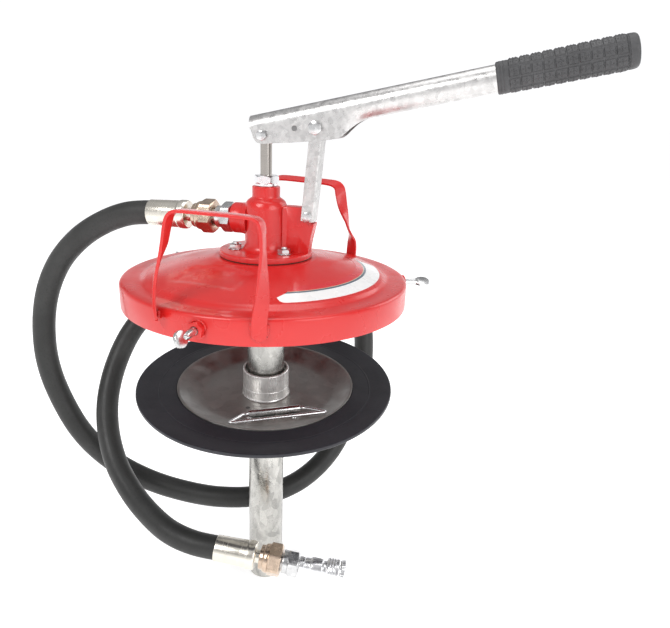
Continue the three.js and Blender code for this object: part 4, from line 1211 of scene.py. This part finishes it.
for number, deg in enumerate((-86, -42, 116), 1):
    at = polar(deg * DEG, DISH_SCREW_CIRCLE)
    screw = lathe(rounded([
        (0, -12.7, 0), (4.6, -12.7, 0.3), (4.5, -11.6, 0.8), (3.4, -10.3, 1), (1.8, -9.9, 0.5),
        (1.5, -11, 0.2), (0, -11, 0),
    ]), 40)
    thread = threaded(2.3, -23.8, -12, 0.8, 0.3, 28)
    screw.join(thread.warp(lambda v: Vector((v.x, v.y, -35.8 - v.z))))
    screw.join(hexagon(8, -25, -22, 0, 0.5, turn=0.4 * number))
    follower_piece(
        screw.moved(at), f"dish_screw_{number}", "zinc_plate", plate, [f"follower_screw_{number}"])

# The vent is a thin dark disc on the dish: painted shade of a hole.
vent = lathe([(0, -12.96), (2.6, -12.96), (2.6, -12.9), (0, -12.9)], 40)
vent_at = Vector((-6.4, -43.5, 0))
follower_piece(vent.moved(vent_at), "vent_hole_shade_disc", "plate_zinc", hole_painted_shade, [])

BAIL_U = polar(-60 * DEG)
BAIL_T = Vector((-BAIL_U.y, BAIL_U.x, 0))
BAIL_Z = DISH + 4.3


def bail_point(t, u, z):
    return BAIL_T * t + BAIL_U * u + Z * z


knuckle = lathe(rounded([(2.3, -29.6, 0), (3.9, -29.6, 0.5), (3.9, 29.6, 0.5), (2.3, 29.6, 0)]), 48)
knuckle.moved(bail_point(0, BAIL_OUT, BAIL_Z), BAIL_T)
seat = [bail_point(t, BAIL_OUT + u, DISH + 0.25)
        for t, u in ((-29, -3.6), (-10, -3.7), (10, -3.7), (29, -3.6))]
follower_piece(knuckle, "bail_hinge", "zinc_plate", plate, ["bail_sleeve"])
follower_piece(weld_bead(seat, 0.9, 3.1), "bail_weld", "zinc_plate", sheet_zinc_darkened_for_shade, [], sharp=70)

corners = [bail_point(t, BAIL_OUT + u, BAIL_Z + z)
           for t, u, z in ((34.5, 0, 0), (55, 26, 7.6), (-55, 26, 7.6), (-34.5, 0, 0))]
slope = bail_point(0, 26, 7.6).normalized()
wire_normal = slope.cross(BAIL_T).normalized()
rings = []
for i, corner in enumerate(corners):
    enter = corner + (corners[i - 1] - corner).normalized() * 5
    leave = corner + (corners[(i + 1) % 4] - corner).normalized() * 5
    for k in range(9):
        t = k / 8
        p = enter * (1 - t) ** 2 + corner * (2 * t * (1 - t)) + leave * t ** 2
        tangent = ((corner - enter) * (1 - t) + (leave - corner) * t).normalized()
        side = tangent.cross(wire_normal).normalized()
        turns = [TAU * n / 20 for n in range(20)]
        rings.append([p + wire_normal * (BAIL_WIRE_R * math.cos(a)) + side * (BAIL_WIRE_R * math.sin(a))
                      for a in turns])
follower_piece(loft(rings, closed=True), "wire_bail", "bright_steel", chrome, ["bail"], "bail", 60)


# ---- floor and light ----------------------------------------------------

def studio():
    floor = bpy.data.meshes.new("floor")
    floor.from_pydata([(-60, -60, 0), (60, -60, 0), (60, 60, 0), (-60, 60, 0)], [], [(0, 1, 2, 3)])
    ground_plane = bpy.data.objects.new("floor", floor)
    ground_plane.location.z = FLOOR_Z * MM
    bpy.context.scene.collection.objects.link(ground_plane)
    pale = bpy.data.materials.new("pale_floor")
    pale.use_nodes = True
    shader = pale.node_tree.nodes["Principled BSDF"]
    shader.inputs["Base Color"].default_value = (0.93, 0.93, 0.93, 1)
    shader.inputs["Roughness"].default_value = 0.9
    shader.inputs["Specular IOR Level"].default_value = 0.1
    shader.inputs["Emission Color"].default_value = (1, 1, 1, 1)
    shader.inputs["Emission Strength"].default_value = 0.55
    floor.materials.append(pale)
    world = bpy.data.worlds.new("studio")
    bpy.context.scene.world = world
    world.use_nodes = True
    nodes, links = world.node_tree.nodes, world.node_tree.links
    split = nodes.new("ShaderNodeSeparateXYZ")
    links.new(nodes.new("ShaderNodeTexCoord").outputs["Generated"], split.inputs["Vector"])
    ramp = nodes.new("ShaderNodeValToRGB")
    stops = ((0.0, 1.05), (0.16, 1.05), (0.28, 0.46), (0.5, 0.34), (0.75, 0.42), (1.0, 0.75))
    while len(ramp.color_ramp.elements) < len(stops):
        ramp.color_ramp.elements.new(0.5)
    for element, (place, level) in zip(ramp.color_ramp.elements, stops):
        element.position = place
        element.color = (level, level, level * 1.02, 1)
    links.new(split.outputs["Z"], ramp.inputs["Fac"])
    links.new(ramp.outputs["Color"], nodes["Background"].inputs["Color"])
    nodes["Background"].inputs["Strength"].default_value = 1.0
    for name, place, size, power, target in (
        ("key", (-0.8, -1.7, 1.5), 1.1, 24, (0, 0, -0.05)),
        ("fill", (1.7, -1.1, 0.7), 1.3, 13, (0, 0, -0.1)),
        ("top", (0.2, 0.2, 2.2), 1.8, 15, (0, 0, 0)),
        ("rim", (1.5, 1.6, 1.0), 1.5, 12, (0, 0, 0)),
    ):
        lamp = bpy.data.lights.new(name, "AREA")
        lamp.shape = "DISK"
        lamp.size = size
        lamp.energy = power
        holder = bpy.data.objects.new(name, lamp)
        holder.location = place
        holder.rotation_euler = (Vector(target) - Vector(place)).to_track_quat("-Z", "Y").to_euler()
        bpy.context.scene.collection.objects.link(holder)


studio()
bpy.context.scene.view_settings.view_transform = "Standard"
bpy.context.view_layer.update()
